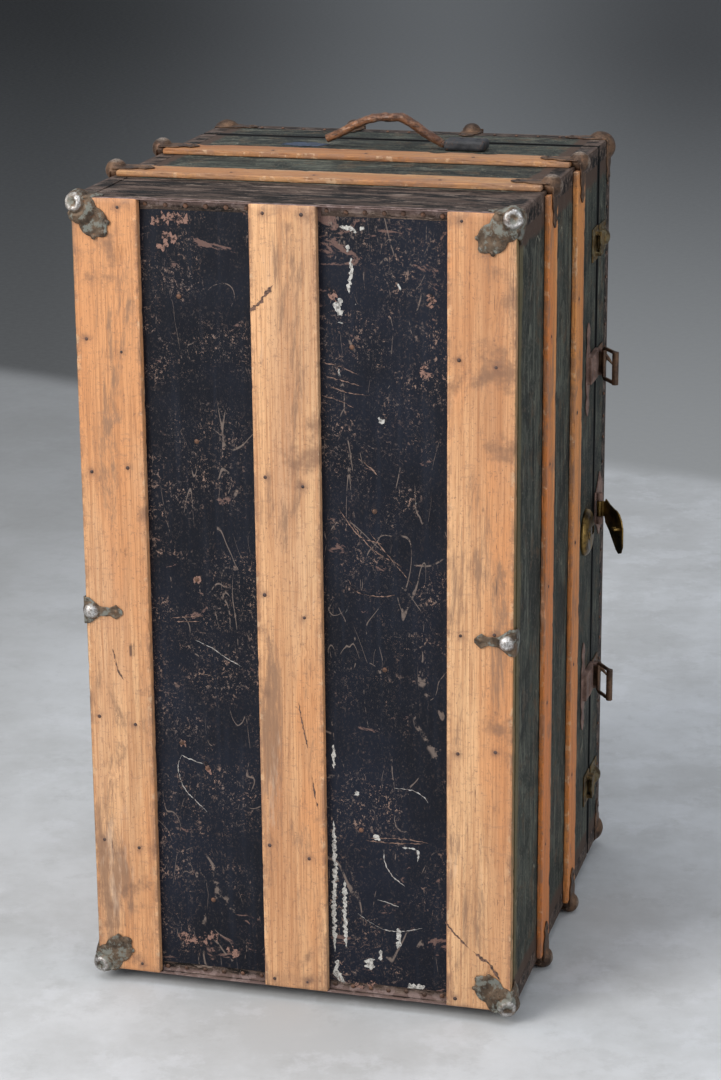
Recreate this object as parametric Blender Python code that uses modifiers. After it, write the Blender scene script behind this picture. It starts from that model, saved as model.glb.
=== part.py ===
"""A flat-topped steamer trunk, standing on one of its ends.

The trunk's own axes: +X is its front (the lock side), -X its back (the hinges), -Y its slatted
bottom, +Y its lid, and +Z its upper end as it stands. Every piece is drawn in trunk coordinates,
with X and Z centred on the case and Y = 0 on the outer face of the three bottom slats. The empty
"trunk" then shifts the whole, so that the world's origin is the centre of the box round it, on the
floor. Lengths are in metres.
"""
import math

import bmesh
import bpy
from mathutils import Matrix, Vector

# Driving dimensions
LENGTH = 0.902          # upper end face to lower end face
WIDTH = 0.490           # back face to front face
BODY_RIM = 0.455        # Y where the body's boards end
LID_RIM = 0.462         # Y where the lid's boards start
LID_TOP = 0.535         # Y of the lid's outer face
BODY_BOARD = 0.009
RIM_LIP = (0.0030, 0.018)             # thickness, and reach above the body's boards
LID_BOARD = 0.0075
CLEAR = 0.0003          # gap kept between pieces that touch
PLATE = 0.0016          # stamped steel of clamps, plates and hinges
BOTTOM_SLAT = (0.076, 0.0106)         # width, thickness
BOTTOM_SLAT_X = {"back": -0.207, "middle": -0.006, "front": 0.207}
SIDE_SLAT = (0.045, 0.0062)
SIDE_SLAT_Y = {"low": 0.158, "high": 0.318}
SLAT_END = 0.004        # how far a side slat stops short of the case's corner
LID_SLAT_X = 0.074
LID_SLAT_END = 0.004
KNOB_REACH = 0.016      # how far a slat clamp's knob stands out from the case
KNOB_RADIUS = 0.0125
WORN = 0.0004           # worn off the knobs that the trunk stands on
LATCH_Z = {"upper": 0.194, "lower": -0.205}
DOWEL_Z = {"upper": 0.339, "lower": -0.351}
HINGE_Z = 0.290
MID_CLAMP_Z = -0.014
LOCK_Y, LOCK_Z = 0.404, -0.007
HASP_Z = LOCK_Z + 0.012           # the hasp hangs from above the lock and slants down to it
STAPLE_Y = 0.4185
PLUG_Y = 0.3930
HANDLE_Y = 0.401
LOOP_LEAN = math.radians(-54)         # from +X towards the bottom
HASP_LEAN = math.radians(-57)

HALF_W = WIDTH / 2
HALF_L = LENGTH / 2
BODY_BOTTOM = BOTTOM_SLAT[1] + CLEAR              # outer face of the case's bottom
LID_SLAT_TOP = LID_TOP + CLEAR + SIDE_SLAT[1]
LID_PIVOT = Vector((-HALF_W - 0.005, (BODY_RIM + LID_RIM) / 2, 0))
LOOP_PIVOT = Vector((HALF_W + 0.0085, 0.4498, 0))
HASP_PIVOT = Vector((HALF_W + 0.0065, 0.4690, HASP_Z))
HANDLE_PIVOT = Vector((0, HANDLE_Y, HALF_L + 0.0060))

X, Y, Z = Vector((1, 0, 0)), Vector((0, 1, 0)), Vector((0, 0, 1))


# Scene, materials and small helpers

def clear_scene():
    for obj in list(bpy.data.objects):
        bpy.data.objects.remove(obj)


def material(name, colour, roughness, metallic=0.0):
    made = bpy.data.materials.new(name)
    made.use_nodes = True
    shader = made.node_tree.nodes["Principled BSDF"]
    shader.inputs["Base Color"].default_value = (*colour, 1)
    shader.inputs["Roughness"].default_value = roughness
    shader.inputs["Metallic"].default_value = metallic
    return made


def piece(name, mesh, finish, parent):
    """An object of the trunk under an empty, its mesh in trunk coordinates less the empty's place."""
    obj = bpy.data.objects.new(name, mesh)
    PARTS.objects.link(obj)
    obj.parent = parent
    if parent is not TRUNK:
        obj.location = -parent.location
    mesh.materials.clear()
    mesh.materials.append(finish)
    mesh.shade_smooth()
    mesh.set_sharp_from_angle(angle=math.radians(35))
    return obj


def pivot(name, place):
    empty = bpy.data.objects.new(name, None)
    PARTS.objects.link(empty)
    empty.parent = TRUNK
    empty.location = place
    return empty


def mesh_of(build):
    """A new mesh filled by build, a function of a bmesh."""
    made = bmesh.new()
    build(made)
    mesh = bpy.data.meshes.new("mesh")
    made.to_mesh(mesh)
    made.free()
    return mesh


def box(low, high):
    low, high = Vector(low), Vector(high)
    size = high - low
    place = Matrix.Translation((low + high) / 2) @ Matrix.Diagonal((*size, 1))
    return mesh_of(lambda made: bmesh.ops.create_cube(made, size=1, matrix=place))


def cylinder(centre, axis, radius, length, sides=20):
    turn = axis.to_track_quat("Z", "Y").to_matrix().to_4x4()
    return mesh_of(lambda made: bmesh.ops.create_cone(
        made, cap_ends=True, segments=sides, radius1=radius, radius2=radius, depth=length,
        matrix=Matrix.Translation(centre) @ turn))


def ball(centre, radius, squash=(1, 1, 1), sides=20):
    place = Matrix.Translation(centre) @ Matrix.Diagonal((*squash, 1))
    return mesh_of(lambda made: bmesh.ops.create_uvsphere(
        made, u_segments=sides, v_segments=sides // 2, radius=radius, matrix=place))


def baked(obj):
    """The object's evaluated mesh, welded, with the object removed."""
    bpy.context.view_layer.update()
    shown = obj.evaluated_get(bpy.context.evaluated_depsgraph_get())
    mesh = bpy.data.meshes.new_from_object(shown)
    mesh.transform(obj.matrix_basis)
    made = bmesh.new()
    made.from_mesh(mesh)
    bmesh.ops.remove_doubles(made, verts=made.verts, dist=1e-6)
    made.to_mesh(mesh)
    made.free()
    bpy.data.objects.remove(obj)
    return mesh


def plate(outline, thickness, place):
    """A flat outline, a list of (u, v), as a plate whose underside lies on place's XY plane."""
    curve = bpy.data.curves.new("outline", "CURVE")
    curve.dimensions = "2D"
    curve.fill_mode = "BOTH"
    curve.extrude = thickness / 2
    spline = curve.splines.new("POLY")
    spline.points.add(len(outline) - 1)
    for point, (u, v) in zip(spline.points, outline):
        point.co = (u, v, 0, 1)
    spline.use_cyclic_u = True
    obj = bpy.data.objects.new("outline", curve)
    bpy.context.scene.collection.objects.link(obj)
    obj.matrix_basis = place @ Matrix.Translation((0, 0, thickness / 2))
    return outwards(baked(obj))


def outwards(mesh):
    made = bmesh.new()
    made.from_mesh(mesh)
    bmesh.ops.recalc_face_normals(made, faces=made.faces)
    made.to_mesh(mesh)
    made.free()
    return mesh


def combined(mesh, others, operation):
    """mesh joined with, or cut by, each of the other meshes."""
    base = bpy.data.objects.new("base", mesh)
    bpy.context.scene.collection.objects.link(base)
    tools = []
    for other in others:
        tool = bpy.data.objects.new("tool", other)
        CUTTERS.objects.link(tool)
        tool.hide_render = True
        tool.display_type = "WIRE"
        step = base.modifiers.new(operation.lower(), "BOOLEAN")
        step.operation = operation
        step.solver = "EXACT"
        step.object = tool
        tools.append(tool)
    made = baked(base)
    for tool in tools:
        bpy.data.objects.remove(tool)
    return made


def joined(mesh, *others):
    return combined(mesh, others, "UNION")


def cut(mesh, *others):
    return combined(mesh, others, "DIFFERENCE")


def facing(origin, outward, along):
    """A place at origin whose Z is outward and whose X runs along a face."""
    made = Matrix((along, outward.cross(along), outward)).transposed().to_4x4()
    made.translation = origin
    return made


def spear(stations):
    """A closed outline, even about the u axis, from (distance, half width) stations."""
    return [(u, -half) for u, half in stations] + [(u, half) for u, half in reversed(stations)]


def mirrored(name, mesh, finish, parent, x=1, z=1):
    """A copy of a mesh on the other side of the trunk's middle planes."""
    obj = piece(name, mesh, finish, parent)
    obj.scale = (x, 1, z)
    return obj


ENDS = {"upper": 1, "lower": -1}
SIDES = {"front": 1, "back": -1}


# The case, its bottom and its slats

def open_box(low, high, wall):
    """A box with no +Y face, its walls going inwards."""
    mesh = box(low, high)
    made = bmesh.new()
    made.from_mesh(mesh)
    made.normal_update()
    bmesh.ops.delete(made, geom=[f for f in made.faces if f.normal.y > 0.5], context="FACES_ONLY")
    made.to_mesh(mesh)
    made.free()
    obj = bpy.data.objects.new("shell", mesh)
    bpy.context.scene.collection.objects.link(obj)
    solid = obj.modifiers.new("walls", "SOLIDIFY")
    solid.thickness = wall
    solid.offset = -1
    solid.use_even_offset = True
    return baked(obj)


def make_case():
    """The body's boards, with the lip inside its mouth that the lid closes over."""
    shell = open_box((-HALF_W, BODY_BOTTOM, -HALF_L), (HALF_W, BODY_RIM, HALF_L), BODY_BOARD)
    thick, reach = RIM_LIP
    x, z = HALF_W - BODY_BOARD, HALF_L - BODY_BOARD
    band = cut(box((-x - 0.001, BODY_RIM - 0.02, -z - 0.001), (x + 0.001, BODY_RIM - 0.002, z + 0.001)),
               box((thick - x, 0.4, thick - z), (x - thick, 0.5, z - thick)))
    x, z = x - 0.0003, z - 0.0003
    lip = cut(box((-x, BODY_RIM - 0.01, -z), (x, BODY_RIM + reach, z)),
              box((thick - x, 0.4, thick - z), (x - thick, 0.5, z - thick)))
    piece("body_case", joined(shell, band, lip), CANVAS, TRUNK)


def slat(name, low, high, parent, rounding=0.0018):
    obj = piece(name, box(low, high), WOOD, parent)
    soften = obj.modifiers.new("worn edges", "BEVEL")
    soften.width = rounding
    soften.segments = 2
    return obj


def make_bottom_slats():
    width, thick = BOTTOM_SLAT
    for name, x in BOTTOM_SLAT_X.items():
        slat(f"bottom_slat_{name}", (x - width / 2, 0, -HALF_L), (x + width / 2, thick, HALF_L), TRUNK)


def make_side_slats():
    width, thick = SIDE_SLAT
    x, z = HALF_W + CLEAR, HALF_L + CLEAR
    for row, y in SIDE_SLAT_Y.items():
        low, high = y - width / 2, y + width / 2
        reach = HALF_W - SLAT_END
        for end, sign in ENDS.items():
            faces = sorted((sign * z, sign * (z + thick)))
            slat(f"{row}_slat_{end}_end", (-reach, low, faces[0]), (reach, high, faces[1]), TRUNK)
        reach = HALF_L - SLAT_END
        for side, sign in SIDES.items():
            faces = sorted((sign * x, sign * (x + thick)))
            slat(f"{row}_slat_{side}", (faces[0], low, -reach), (faces[1], high, reach), TRUNK)


# Steel hardware on the case

def slat_clamp():
    """A knob over the corner where two slats meet, with a leaf along each slat."""
    thick = SIDE_SLAT[1] + 2 * CLEAR
    x, z = HALF_W + thick, HALF_L + thick
    inset = KNOB_RADIUS - KNOB_REACH
    knob = ball((HALF_W - inset, 0, HALF_L - inset), KNOB_RADIUS)
    leaf = spear([(0, 0.014), (0.022, 0.013), (0.030, 0.007), (0.038, 0.0105), (0.046, 0.002)])
    arms = (plate(leaf, PLATE, facing((HALF_W + 0.004, 0, z), Z, -X)),
            plate(leaf, PLATE, facing((x, 0, HALF_L + 0.004), X, -Z)))
    far = 0.1
    slats = (box((0, -far, 0), (HALF_W + CLEAR, far, HALF_L + CLEAR)),
             box((0, -far, 0), (HALF_W - SLAT_END + CLEAR, far, z)),
             box((0, -far, 0), (x, far, HALF_L - SLAT_END + CLEAR)))
    worn = box((0, -far, HALF_L + KNOB_REACH - WORN), (2 * x, far, HALF_L + 0.1))
    return cut(joined(knob, *arms), *slats, worn)


def make_slat_clamps():
    mesh = slat_clamp()
    for row, y in SIDE_SLAT_Y.items():
        for end, z in ENDS.items():
            for side, x in SIDES.items():
                made = mirrored(f"{row}_clamp_{end}_{side}", mesh, STEEL, TRUNK, x, z)
                made.location.y = y


def flower():
    """A corner plate's outline: a disc with three rivet lobes that point away from the corner."""
    points = []
    count = 30
    for i in range(count):
        angle = 2 * math.pi * i / count
        lobes = max(0.0, math.cos(4 * angle - math.pi)) if angle < math.pi / 2 + 0.4 else 0.0
        radius = 0.0165 + 0.0045 * lobes
        points.append((0.026 + radius * math.cos(angle), 0.026 + radius * math.sin(angle)))
    return points


def corner_bumper():
    """The domed shoe on a corner of the bottom, folded round all three faces."""
    dome = ball((HALF_W - 0.0070, 0.0070, HALF_L - 0.0070), 0.0150, sides=24)
    leaf = spear([(0, 0.0125), (0.018, 0.012), (0.034, 0.003)])
    faces = (plate(flower(), PLATE, facing((HALF_W, -CLEAR, HALF_L), -Y, -X)),
             plate(leaf, PLATE, facing((HALF_W, 0.0125, HALF_L + CLEAR), Z, -X)),
             plate(leaf, PLATE, facing((HALF_W + CLEAR, 0.0125, HALF_L), X, -Z)))
    case = box((0, -CLEAR, 0), (HALF_W + CLEAR, 0.1, HALF_L + CLEAR))
    return cut(joined(dome, *faces), case)


def make_corner_bumpers():
    mesh = corner_bumper()
    for end, z in ENDS.items():
        for side, x in SIDES.items():
            mirrored(f"corner_bumper_{end}_{side}", mesh, STEEL, TRUNK, x, z)


def make_mid_clamps():
    """The two small domed clamps half way along the outer bottom slats."""
    dome = ball((HALF_W - 0.0080, 0.0035, 0), 0.0115)
    tongue = spear([(-0.0003, 0.016), (0.006, 0.015), (0.018, 0.006), (0.030, 0.005), (0.037, 0.009),
                    (0.045, 0.002)])
    wing = spear([(-0.0003, 0.016), (0.012, 0.014), (0.020, 0.004)])
    faces = (plate(tongue, PLATE, facing((HALF_W + CLEAR, -CLEAR, 0), -Y, -X)),
             plate(wing, PLATE, facing((HALF_W + CLEAR, 0, 0), X, Y)))
    case = box((0, -CLEAR, -0.1), (HALF_W + CLEAR, 0.1, 0.1))
    mesh = cut(joined(dome, *faces), case)
    for side, x in SIDES.items():
        made = mirrored(f"bottom_mid_clamp_{side}", mesh, STEEL, TRUNK, x)
        made.location.z = MID_CLAMP_Z


# Hinges and lid

def hinge_leaf(z, far_y, spans):
    """A leaf that runs from the pin to far_y, with a knuckle round the pin for each span of Z."""
    face = -HALF_W - CLEAR
    near_y = LID_PIVOT.y + math.copysign(0.0050, far_y - LID_PIVOT.y)
    low, high = sorted((near_y, far_y))
    made = box((face - PLATE, low, z - 0.028), (face, high, z + 0.028))
    low, high = sorted((LID_PIVOT.y, near_y + math.copysign(0.001, far_y - near_y)))
    parts = []
    for start, end in spans:
        parts.append(box((face - PLATE, low, z + start), (face - CLEAR, high, z + end)))
        parts.append(cylinder((LID_PIVOT.x, LID_PIVOT.y, z + (start + end) / 2), Z, 0.0040, end - start))
    return joined(made, *parts)


def make_hinges():
    """Each hinge is a body leaf with two knuckles and the pin, and a lid leaf with one knuckle."""
    half, third = 0.030, 0.010
    for end, sign in ENDS.items():
        z = sign * HINGE_Z
        centre = (LID_PIVOT.x, LID_PIVOT.y, z)
        outer = ((-half, -third - 0.0004), (third + 0.0004, half))
        body = hinge_leaf(z, BODY_RIM - 0.048, outer)
        lid = hinge_leaf(z, LID_RIM + 0.048, ((-third, third),))
        pin = cylinder(centre, Z, 0.0018, 2 * half - 0.002, 16)
        piece(f"hinge_body_leaf_{end}", joined(body, pin), STEEL, TRUNK)
        piece(f"hinge_lid_leaf_{end}", cut(lid, cylinder(centre, Z, 0.0023, 0.1, 16)), STEEL, LID)


def make_lid():
    mesh = open_box((-HALF_W, -LID_TOP, -HALF_L), (HALF_W, -LID_RIM, HALF_L), LID_BOARD)
    mesh.transform(Matrix.Rotation(math.pi, 4, "Z"))
    piece("lid_shell", mesh, CANVAS, LID)
    width = 0.048
    for side, sign in SIDES.items():
        x = sign * LID_SLAT_X
        reach = HALF_L - LID_SLAT_END
        slat(f"lid_slat_{side}", (x - width / 2, LID_TOP + CLEAR, -reach),
             (x + width / 2, LID_SLAT_TOP, reach), LID)


def lid_corner():
    """A ball over the lid's corner with a leaf along each of the three faces that meet there."""
    inset, radius = 0.0100, 0.0182
    knob = ball((HALF_W - inset, LID_TOP - inset, HALF_L - inset), radius, sides=24)
    leaf = spear([(0, 0.013), (0.028, 0.012), (0.036, 0.007), (0.044, 0.010), (0.052, 0.003)])
    y = LID_TOP - 0.0155
    arms = (plate(leaf, PLATE, facing((HALF_W, y, HALF_L + CLEAR), Z, -X)),
            plate(leaf, PLATE, facing((HALF_W + CLEAR, y, HALF_L), X, -Z)),
            plate(leaf, PLATE, facing((HALF_W - 0.0155, LID_TOP + CLEAR, HALF_L), Y, -Z)))
    case = box((0, 0, 0), (HALF_W + CLEAR, LID_TOP + CLEAR, HALF_L + CLEAR))
    return cut(joined(knob, *arms), case)


def lid_slat_clamp():
    """A knob over the lid's edge at the end of a lid slat, with a leaf on the slat and one below."""
    radius, reach = 0.0115, 0.0130
    knob = ball((0, LID_TOP + reach - radius, HALF_L + 0.0115 - radius), radius)
    above, below = LID_SLAT_TOP + CLEAR, HALF_L + CLEAR
    leaf = spear([(0, 0.013), (0.018, 0.012), (0.026, 0.007), (0.033, 0.010), (0.040, 0.002)])
    arms = (plate(leaf, PLATE, facing((0, above, HALF_L + 0.004), Y, -Z)),
            plate(leaf, PLATE, facing((0, LID_TOP + 0.004, below), Z, -Y)))
    far = 0.1
    slat_and_lid = (box((-far, 0, 0), (far, LID_TOP + CLEAR, below)),
                    box((-far, 0, 0), (far, above, HALF_L - LID_SLAT_END + CLEAR)))
    return cut(joined(knob, *arms), *slat_and_lid)


def make_lid_caps():
    corner, clamp = lid_corner(), lid_slat_clamp()
    for end, z in ENDS.items():
        for side, x in SIDES.items():
            made = mirrored(f"lid_corner_{end}_{side}", corner, STEEL, LID, x, z)
            made.location = -LID_PIVOT
            made = mirrored(f"lid_clamp_{end}_{side}", clamp, STEEL, LID, 1, z)
            made.location = x * LID_SLAT_X * X - LID_PIVOT


# Draw latches, dowels and lock

def latch_base(z):
    """A long leaf plate with a raised spring box, whose two ears hold the loop's pin."""
    face = HALF_W + CLEAR
    leaf = spear([(-0.057, 0.0010), (-0.051, 0.0070), (-0.043, 0.0105), (-0.032, 0.0055), (-0.022, 0.0110),
                  (0.022, 0.0110), (0.032, 0.0055), (0.043, 0.0105), (0.051, 0.0070), (0.057, 0.0010)])
    made = plate(leaf, PLATE, facing((face, 0.404, z), X, Z))
    parts = [box((face, 0.396, z - 0.0165), (face + 0.0070, 0.4415, z + 0.0165)),
             cylinder(LOOP_PIVOT + z * Z, Z, 0.0016, 0.031, 16)]
    for side in (-0.0149, 0.0149):
        low, high = z + side - 0.0016, z + side + 0.0016
        parts.append(box((face, 0.4400, low), (LOOP_PIVOT.x - 0.0032, LOOP_PIVOT.y + 0.0032, high)))
        parts.append(box((face, LOOP_PIVOT.y - 0.0031, low), (LOOP_PIVOT.x, LOOP_PIVOT.y + 0.0031, high)))
        parts.append(cylinder(LOOP_PIVOT + (z + side) * Z, Z, 0.0031, 0.0032))
    return joined(made, *parts)


def latch_loop(z):
    """A rectangular loop in the plane of the pin, with a thick crossbar, leaning out from the face."""
    length, half, bar, thick = 0.0390, 0.0205, 0.0040, 0.0032
    outline = [(0.0050, -half + 0.0035), (0.010, -half), (length, -half), (length, half), (0.010, half),
               (0.0050, half - 0.0035)]
    ring = plate(outline, thick, facing(Vector((0, thick / 2, 0)), -Y, X))
    window = box((0.0090, -0.01, -half + bar), (length - 0.0045, 0.01, half - bar))
    arm = box((-0.0005, -thick / 2 + 0.0002, -0.0120), (0.0095, thick / 2 - 0.0002, 0.0120))
    knuckle = cylinder((0, 0, 0), Z, 0.0032, 0.0250)
    crossbar = cylinder((length, 0, 0), Z, 0.0040, 2 * half - 0.001)
    made = cut(joined(cut(ring, window), arm, knuckle, crossbar), cylinder((0, 0, 0), Z, 0.0021, 0.1, 16))
    made.transform(Matrix.Translation(LOOP_PIVOT + z * Z) @ Matrix.Rotation(LOOP_LEAN, 4, "Z"))
    return made


def latch_catch(z):
    """The lid's plate with the hook that the loop drops over."""
    face = HALF_W + CLEAR
    made = box((face, 0.4650, z - 0.013), (face + PLATE, 0.5000, z + 0.013))
    hook = box((face + 0.0005, 0.4780, z - 0.007), (face + 0.0095, 0.4833, z + 0.007))
    return joined(made, hook)


def make_latches():
    for end, z in LATCH_Z.items():
        piece(f"latch_base_{end}", latch_base(z), STEEL, TRUNK)
        piece(f"latch_catch_{end}", latch_catch(z), STEEL, LID)
        swing = pivot(f"latch_pivot_{end}", LOOP_PIVOT + z * Z)
        piece(f"latch_loop_{end}", latch_loop(z), STEEL, swing)


def make_dowels():
    """A tongue on the lid drops through a bridge on the body, and keeps the two in line."""
    face = HALF_W + CLEAR
    for end, z in DOWEL_Z.items():
        base = box((face, 0.420, z - 0.020), (face + PLATE, 0.4540, z + 0.020))
        bridge = box((face, 0.438, z - 0.0145), (face + 0.0085, 0.4530, z + 0.0145))
        slot = box((face + PLATE, 0.430, z - 0.0100), (face + 0.0062, 0.460, z + 0.0100))
        piece(f"dowel_socket_{end}", joined(base, cut(bridge, slot)), STEEL, TRUNK)
        top = box((face, 0.4640, z - 0.018), (face + PLATE, 0.5050, z + 0.018))
        tongue = box((face + 0.0024, 0.4430, z - 0.0080), (face + 0.0052, 0.4800, z + 0.0080))
        root = box((face + 0.0005, 0.4660, z - 0.0080), (face + 0.0040, 0.4800, z + 0.0080))
        dome = cut(ball((face - 0.002, 0.4850, z), 0.0125), box((0, 0.4, z - 0.1), (face, 0.6, z + 0.1)))
        piece(f"dowel_tongue_{end}", joined(top, tongue, root, dome), STEEL, LID)


def turned(profile, centre, steps=32):
    """A closed turned solid from (radius, height) points that run down its outer side."""
    mesh = bpy.data.meshes.new("profile")
    mesh.from_pydata([(r, 0, h) for r, h in profile], [(i, i + 1) for i in range(len(profile) - 1)], [])
    obj = bpy.data.objects.new("turned", mesh)
    bpy.context.scene.collection.objects.link(obj)
    turn = obj.modifiers.new("turn", "SCREW")
    turn.steps = turn.render_steps = steps
    turn.use_merge_vertices = True
    turn.merge_threshold = 0.0001
    obj.matrix_basis = facing(centre, X, Y)
    return outwards(baked(obj))


def lock_case():
    """A shallow dish, hollow behind, with a slot for the hasp's staple and a hole for the plug."""
    radius, height, wall = 0.0285, 0.0080, 0.0014
    profile = [(0, height), (radius - 0.007, height), (radius - 0.003, height - 0.0018),
               (radius, height - 0.005), (radius, 0), (radius - wall, 0),
               (radius - wall, height - 0.0055), (radius - 0.008, height - wall), (0, height - wall)]
    dish = turned(profile, Vector((HALF_W + CLEAR, LOCK_Y, LOCK_Z)))
    slot = box((HALF_W + 0.004, STAPLE_Y - 0.007, LOCK_Z - 0.0045),
               (HALF_W + 0.012, STAPLE_Y + 0.007, LOCK_Z + 0.0045))
    return cut(dish, slot, cylinder((HALF_W + 0.008, PLUG_Y, LOCK_Z), X, 0.0055, 0.01, 24))


def lock_plug():
    """The turning plug, its keyhole cut into the face."""
    plug = cylinder((HALF_W + 0.0050, PLUG_Y, LOCK_Z), X, 0.0050, 0.0084, 24)
    slot = box((HALF_W + 0.0070, PLUG_Y - 0.0032, LOCK_Z - 0.0007),
               (HALF_W + 0.02, PLUG_Y + 0.0032, LOCK_Z + 0.0007))
    return cut(plug, slot)


def hasp():
    """The flared brass flap, its knuckle, and the eyed staple on its underside."""
    thick, over = 0.0022, 0.0037
    stations = [(0.0, 0.0095, 0.0), (0.0060, 0.0095, 0.0), (0.0085, 0.0150, 0.0010), (0.020, 0.0165, 0.0060),
                (0.032, 0.0205, 0.0120), (0.042, 0.0245, 0.0165), (0.050, 0.0250, 0.0195),
                (0.057, 0.0205, 0.0215), (0.062, 0.0110, 0.0220)]
    sides = [[(reach, sign * half + drop) for reach, half, drop in stations] for sign in (-1, 1)]
    flap = plate(sides[0] + sides[1][::-1], thick, facing(Vector((0, over, 0)), Y, X))
    knuckle = cylinder((0, 0, 0), Z, 0.0040, 0.0190)
    link = box((-0.0005, 0.0005, -0.0093), (0.0037, over + 0.001, 0.0093))
    reach = HASP_PIVOT.y - STAPLE_Y
    level = LOCK_Z - HASP_Z
    staple = box((reach - 0.0050, -0.0045, level - 0.0015), (reach + 0.0050, over + 0.001, level + 0.0015))
    eye = box((reach - 0.0026, -0.0031, level - 0.005), (reach + 0.0026, 0.0022, level + 0.005))
    bore = cylinder((0, 0, 0), Z, 0.0023, 0.1, 16)
    made = cut(joined(flap, knuckle, link, cut(staple, eye)), bore)
    made.transform(Matrix.Translation(HASP_PIVOT) @ Matrix.Rotation(HASP_LEAN, 4, "Z"))
    return made


def hasp_plate():
    """The lid's plate, its two knuckles and the pin through them."""
    face = HALF_W + CLEAR
    stations = [(-0.040, 0.002), (-0.030, 0.010), (-0.022, 0.020), (0.022, 0.020), (0.030, 0.010),
                (0.040, 0.002)]
    made = plate(spear(stations), PLATE, facing((face, 0.4940, HASP_Z), X, Z))
    parts = [box((face, 0.4655, HASP_Z - 0.0200), (face + PLATE, 0.4800, HASP_Z + 0.0200)),
             cylinder(HASP_PIVOT, Z, 0.0018, 0.038, 16)]
    for side in (-0.0150, 0.0150):
        low, high = HASP_Z + side - 0.005, HASP_Z + side + 0.005
        parts.append(cylinder(HASP_PIVOT + side * Z, Z, 0.0040, 0.0100))
        parts.append(box((face + 0.0003, HASP_PIVOT.y, low), (HASP_PIVOT.x, HASP_PIVOT.y + 0.0039, high)))
    return joined(made, *parts)


def make_lock():
    piece("lock_case", lock_case(), BRASS, TRUNK)
    turn = pivot("lock_plug_pivot", Vector((HALF_W, PLUG_Y, LOCK_Z)))
    piece("lock_plug", lock_plug(), BRASS, turn)
    piece("hasp_plate", hasp_plate(), STEEL, LID)
    swing = pivot("hasp_pivot", HASP_PIVOT - LID_PIVOT)
    swing.parent = LID
    flap = piece("hasp", hasp(), BRASS, swing)
    flap.location = -HASP_PIVOT


# Handles

def strap(points, radius, widen):
    """A strap: a tube along points in the XZ plane, widened in Y by widen(x, z) at each of them."""
    curve = bpy.data.curves.new("strap", "CURVE")
    curve.dimensions = "3D"
    curve.bevel_depth = radius
    curve.bevel_resolution = 2
    curve.use_fill_caps = True
    spline = curve.splines.new("POLY")
    spline.points.add(len(points) - 1)
    for point, (x, z) in zip(spline.points, points):
        point.co = (x, 0, z, 1)
    obj = bpy.data.objects.new("strap", curve)
    bpy.context.scene.collection.objects.link(obj)
    mesh = baked(obj)
    for vertex in mesh.vertices:
        vertex.co.y *= widen(vertex.co.x, vertex.co.z)
    return outwards(mesh)


def handle_arch():
    """Points of the lifted handle, a smooth hump that is round at its ends."""
    count = 20
    points = []
    for i in range(count + 1):
        t = i / count
        points.append((0.1380 * t - 0.0700, 0.0300 * math.sin(math.pi * t ** 1.1) ** 0.8))
    return points


def cap(height, sign):
    """A handle's end cap with a round mouth that the strap's tongue enters."""
    low, high = 0.0735, 0.1230
    body = box((low, HANDLE_Y - 0.0150, HALF_L + CLEAR), (high, HANDLE_Y + 0.0150, HALF_L + height))
    obj = bpy.data.objects.new("cap", body)
    bpy.context.scene.collection.objects.link(obj)
    soften = obj.modifiers.new("round", "BEVEL")
    soften.width = 0.0035
    soften.segments = 2
    mesh = cut(baked(obj), cylinder((low, HANDLE_Y, HALF_L + 0.0060), X, 0.0048, 0.040, 16))
    mesh.transform(Matrix.Diagonal((1, 1, sign, 1)))
    return outwards(mesh)


def make_handles():
    """The upper handle has lost its back cap. The lower one lies straight under the trunk."""
    swing = pivot("upper_handle_pivot", HANDLE_PIVOT)
    arch = strap(handle_arch(), 0.0048, lambda x, z: 1 + max(0.0, min(1.0, z / 0.014)))
    arch.transform(Matrix.Translation(HANDLE_PIVOT))
    tongue = cylinder(HANDLE_PIVOT + 0.0785 * X, X, 0.0040, 0.0270, 16)
    piece("upper_handle", joined(arch, tongue), LEATHER, swing)
    piece("upper_handle_cap_front", cap(0.0130, 1), STEEL, TRUNK)
    low = Vector((0, HANDLE_Y, -HALF_L - 0.0060))
    swing = pivot("lower_handle_pivot", low)
    flat = strap([(0.1400 * i / 10 - 0.0700, 0) for i in range(11)], 0.0040,
                 lambda x, z: 1 + 1.3 * min(1.0, (0.0710 - abs(x)) / 0.03))
    flat.transform(Matrix.Translation(low))
    tongues = [cylinder(low + x * X, X, 0.0036, 0.0270, 16) for x in (-0.0785, 0.0785)]
    piece("lower_handle", joined(flat, *tongues), LEATHER, swing)
    low_cap = cap(0.0125, -1)
    for side, sign in SIDES.items():
        mirrored(f"lower_handle_cap_{side}", low_cap, STEEL, TRUNK, sign)


def stand_on_origin():
    """Move the trunk so that the middle of its box's underside is at the origin."""
    bpy.context.view_layer.update()
    corners = [obj.matrix_world @ vertex.co for obj in PARTS.objects if obj.type == "MESH"
               for vertex in obj.data.vertices]
    low = Vector([min(c[i] for c in corners) for i in range(3)])
    high = Vector([max(c[i] for c in corners) for i in range(3)])
    TRUNK.location = Vector((-(low.x + high.x) / 2, -(low.y + high.y) / 2, -low.z))


clear_scene()
PARTS = bpy.data.collections.new("steamer_trunk")
CUTTERS = bpy.data.collections.new("cutters")
for group in (PARTS, CUTTERS):
    bpy.context.scene.collection.children.link(group)
TRUNK = bpy.data.objects.new("trunk", None)
PARTS.objects.link(TRUNK)
LID = pivot("lid_pivot", LID_PIVOT)
WOOD = material("pine_slat", (0.62, 0.36, 0.18), 0.6)
CANVAS = material("painted_canvas", (0.045, 0.060, 0.055), 0.75)
STEEL = material("rusty_steel", (0.10, 0.065, 0.045), 0.55, 0.7)
BRASS = material("tarnished_brass", (0.30, 0.20, 0.07), 0.4, 0.9)
LEATHER = material("leather", (0.20, 0.09, 0.04), 0.55)

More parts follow.
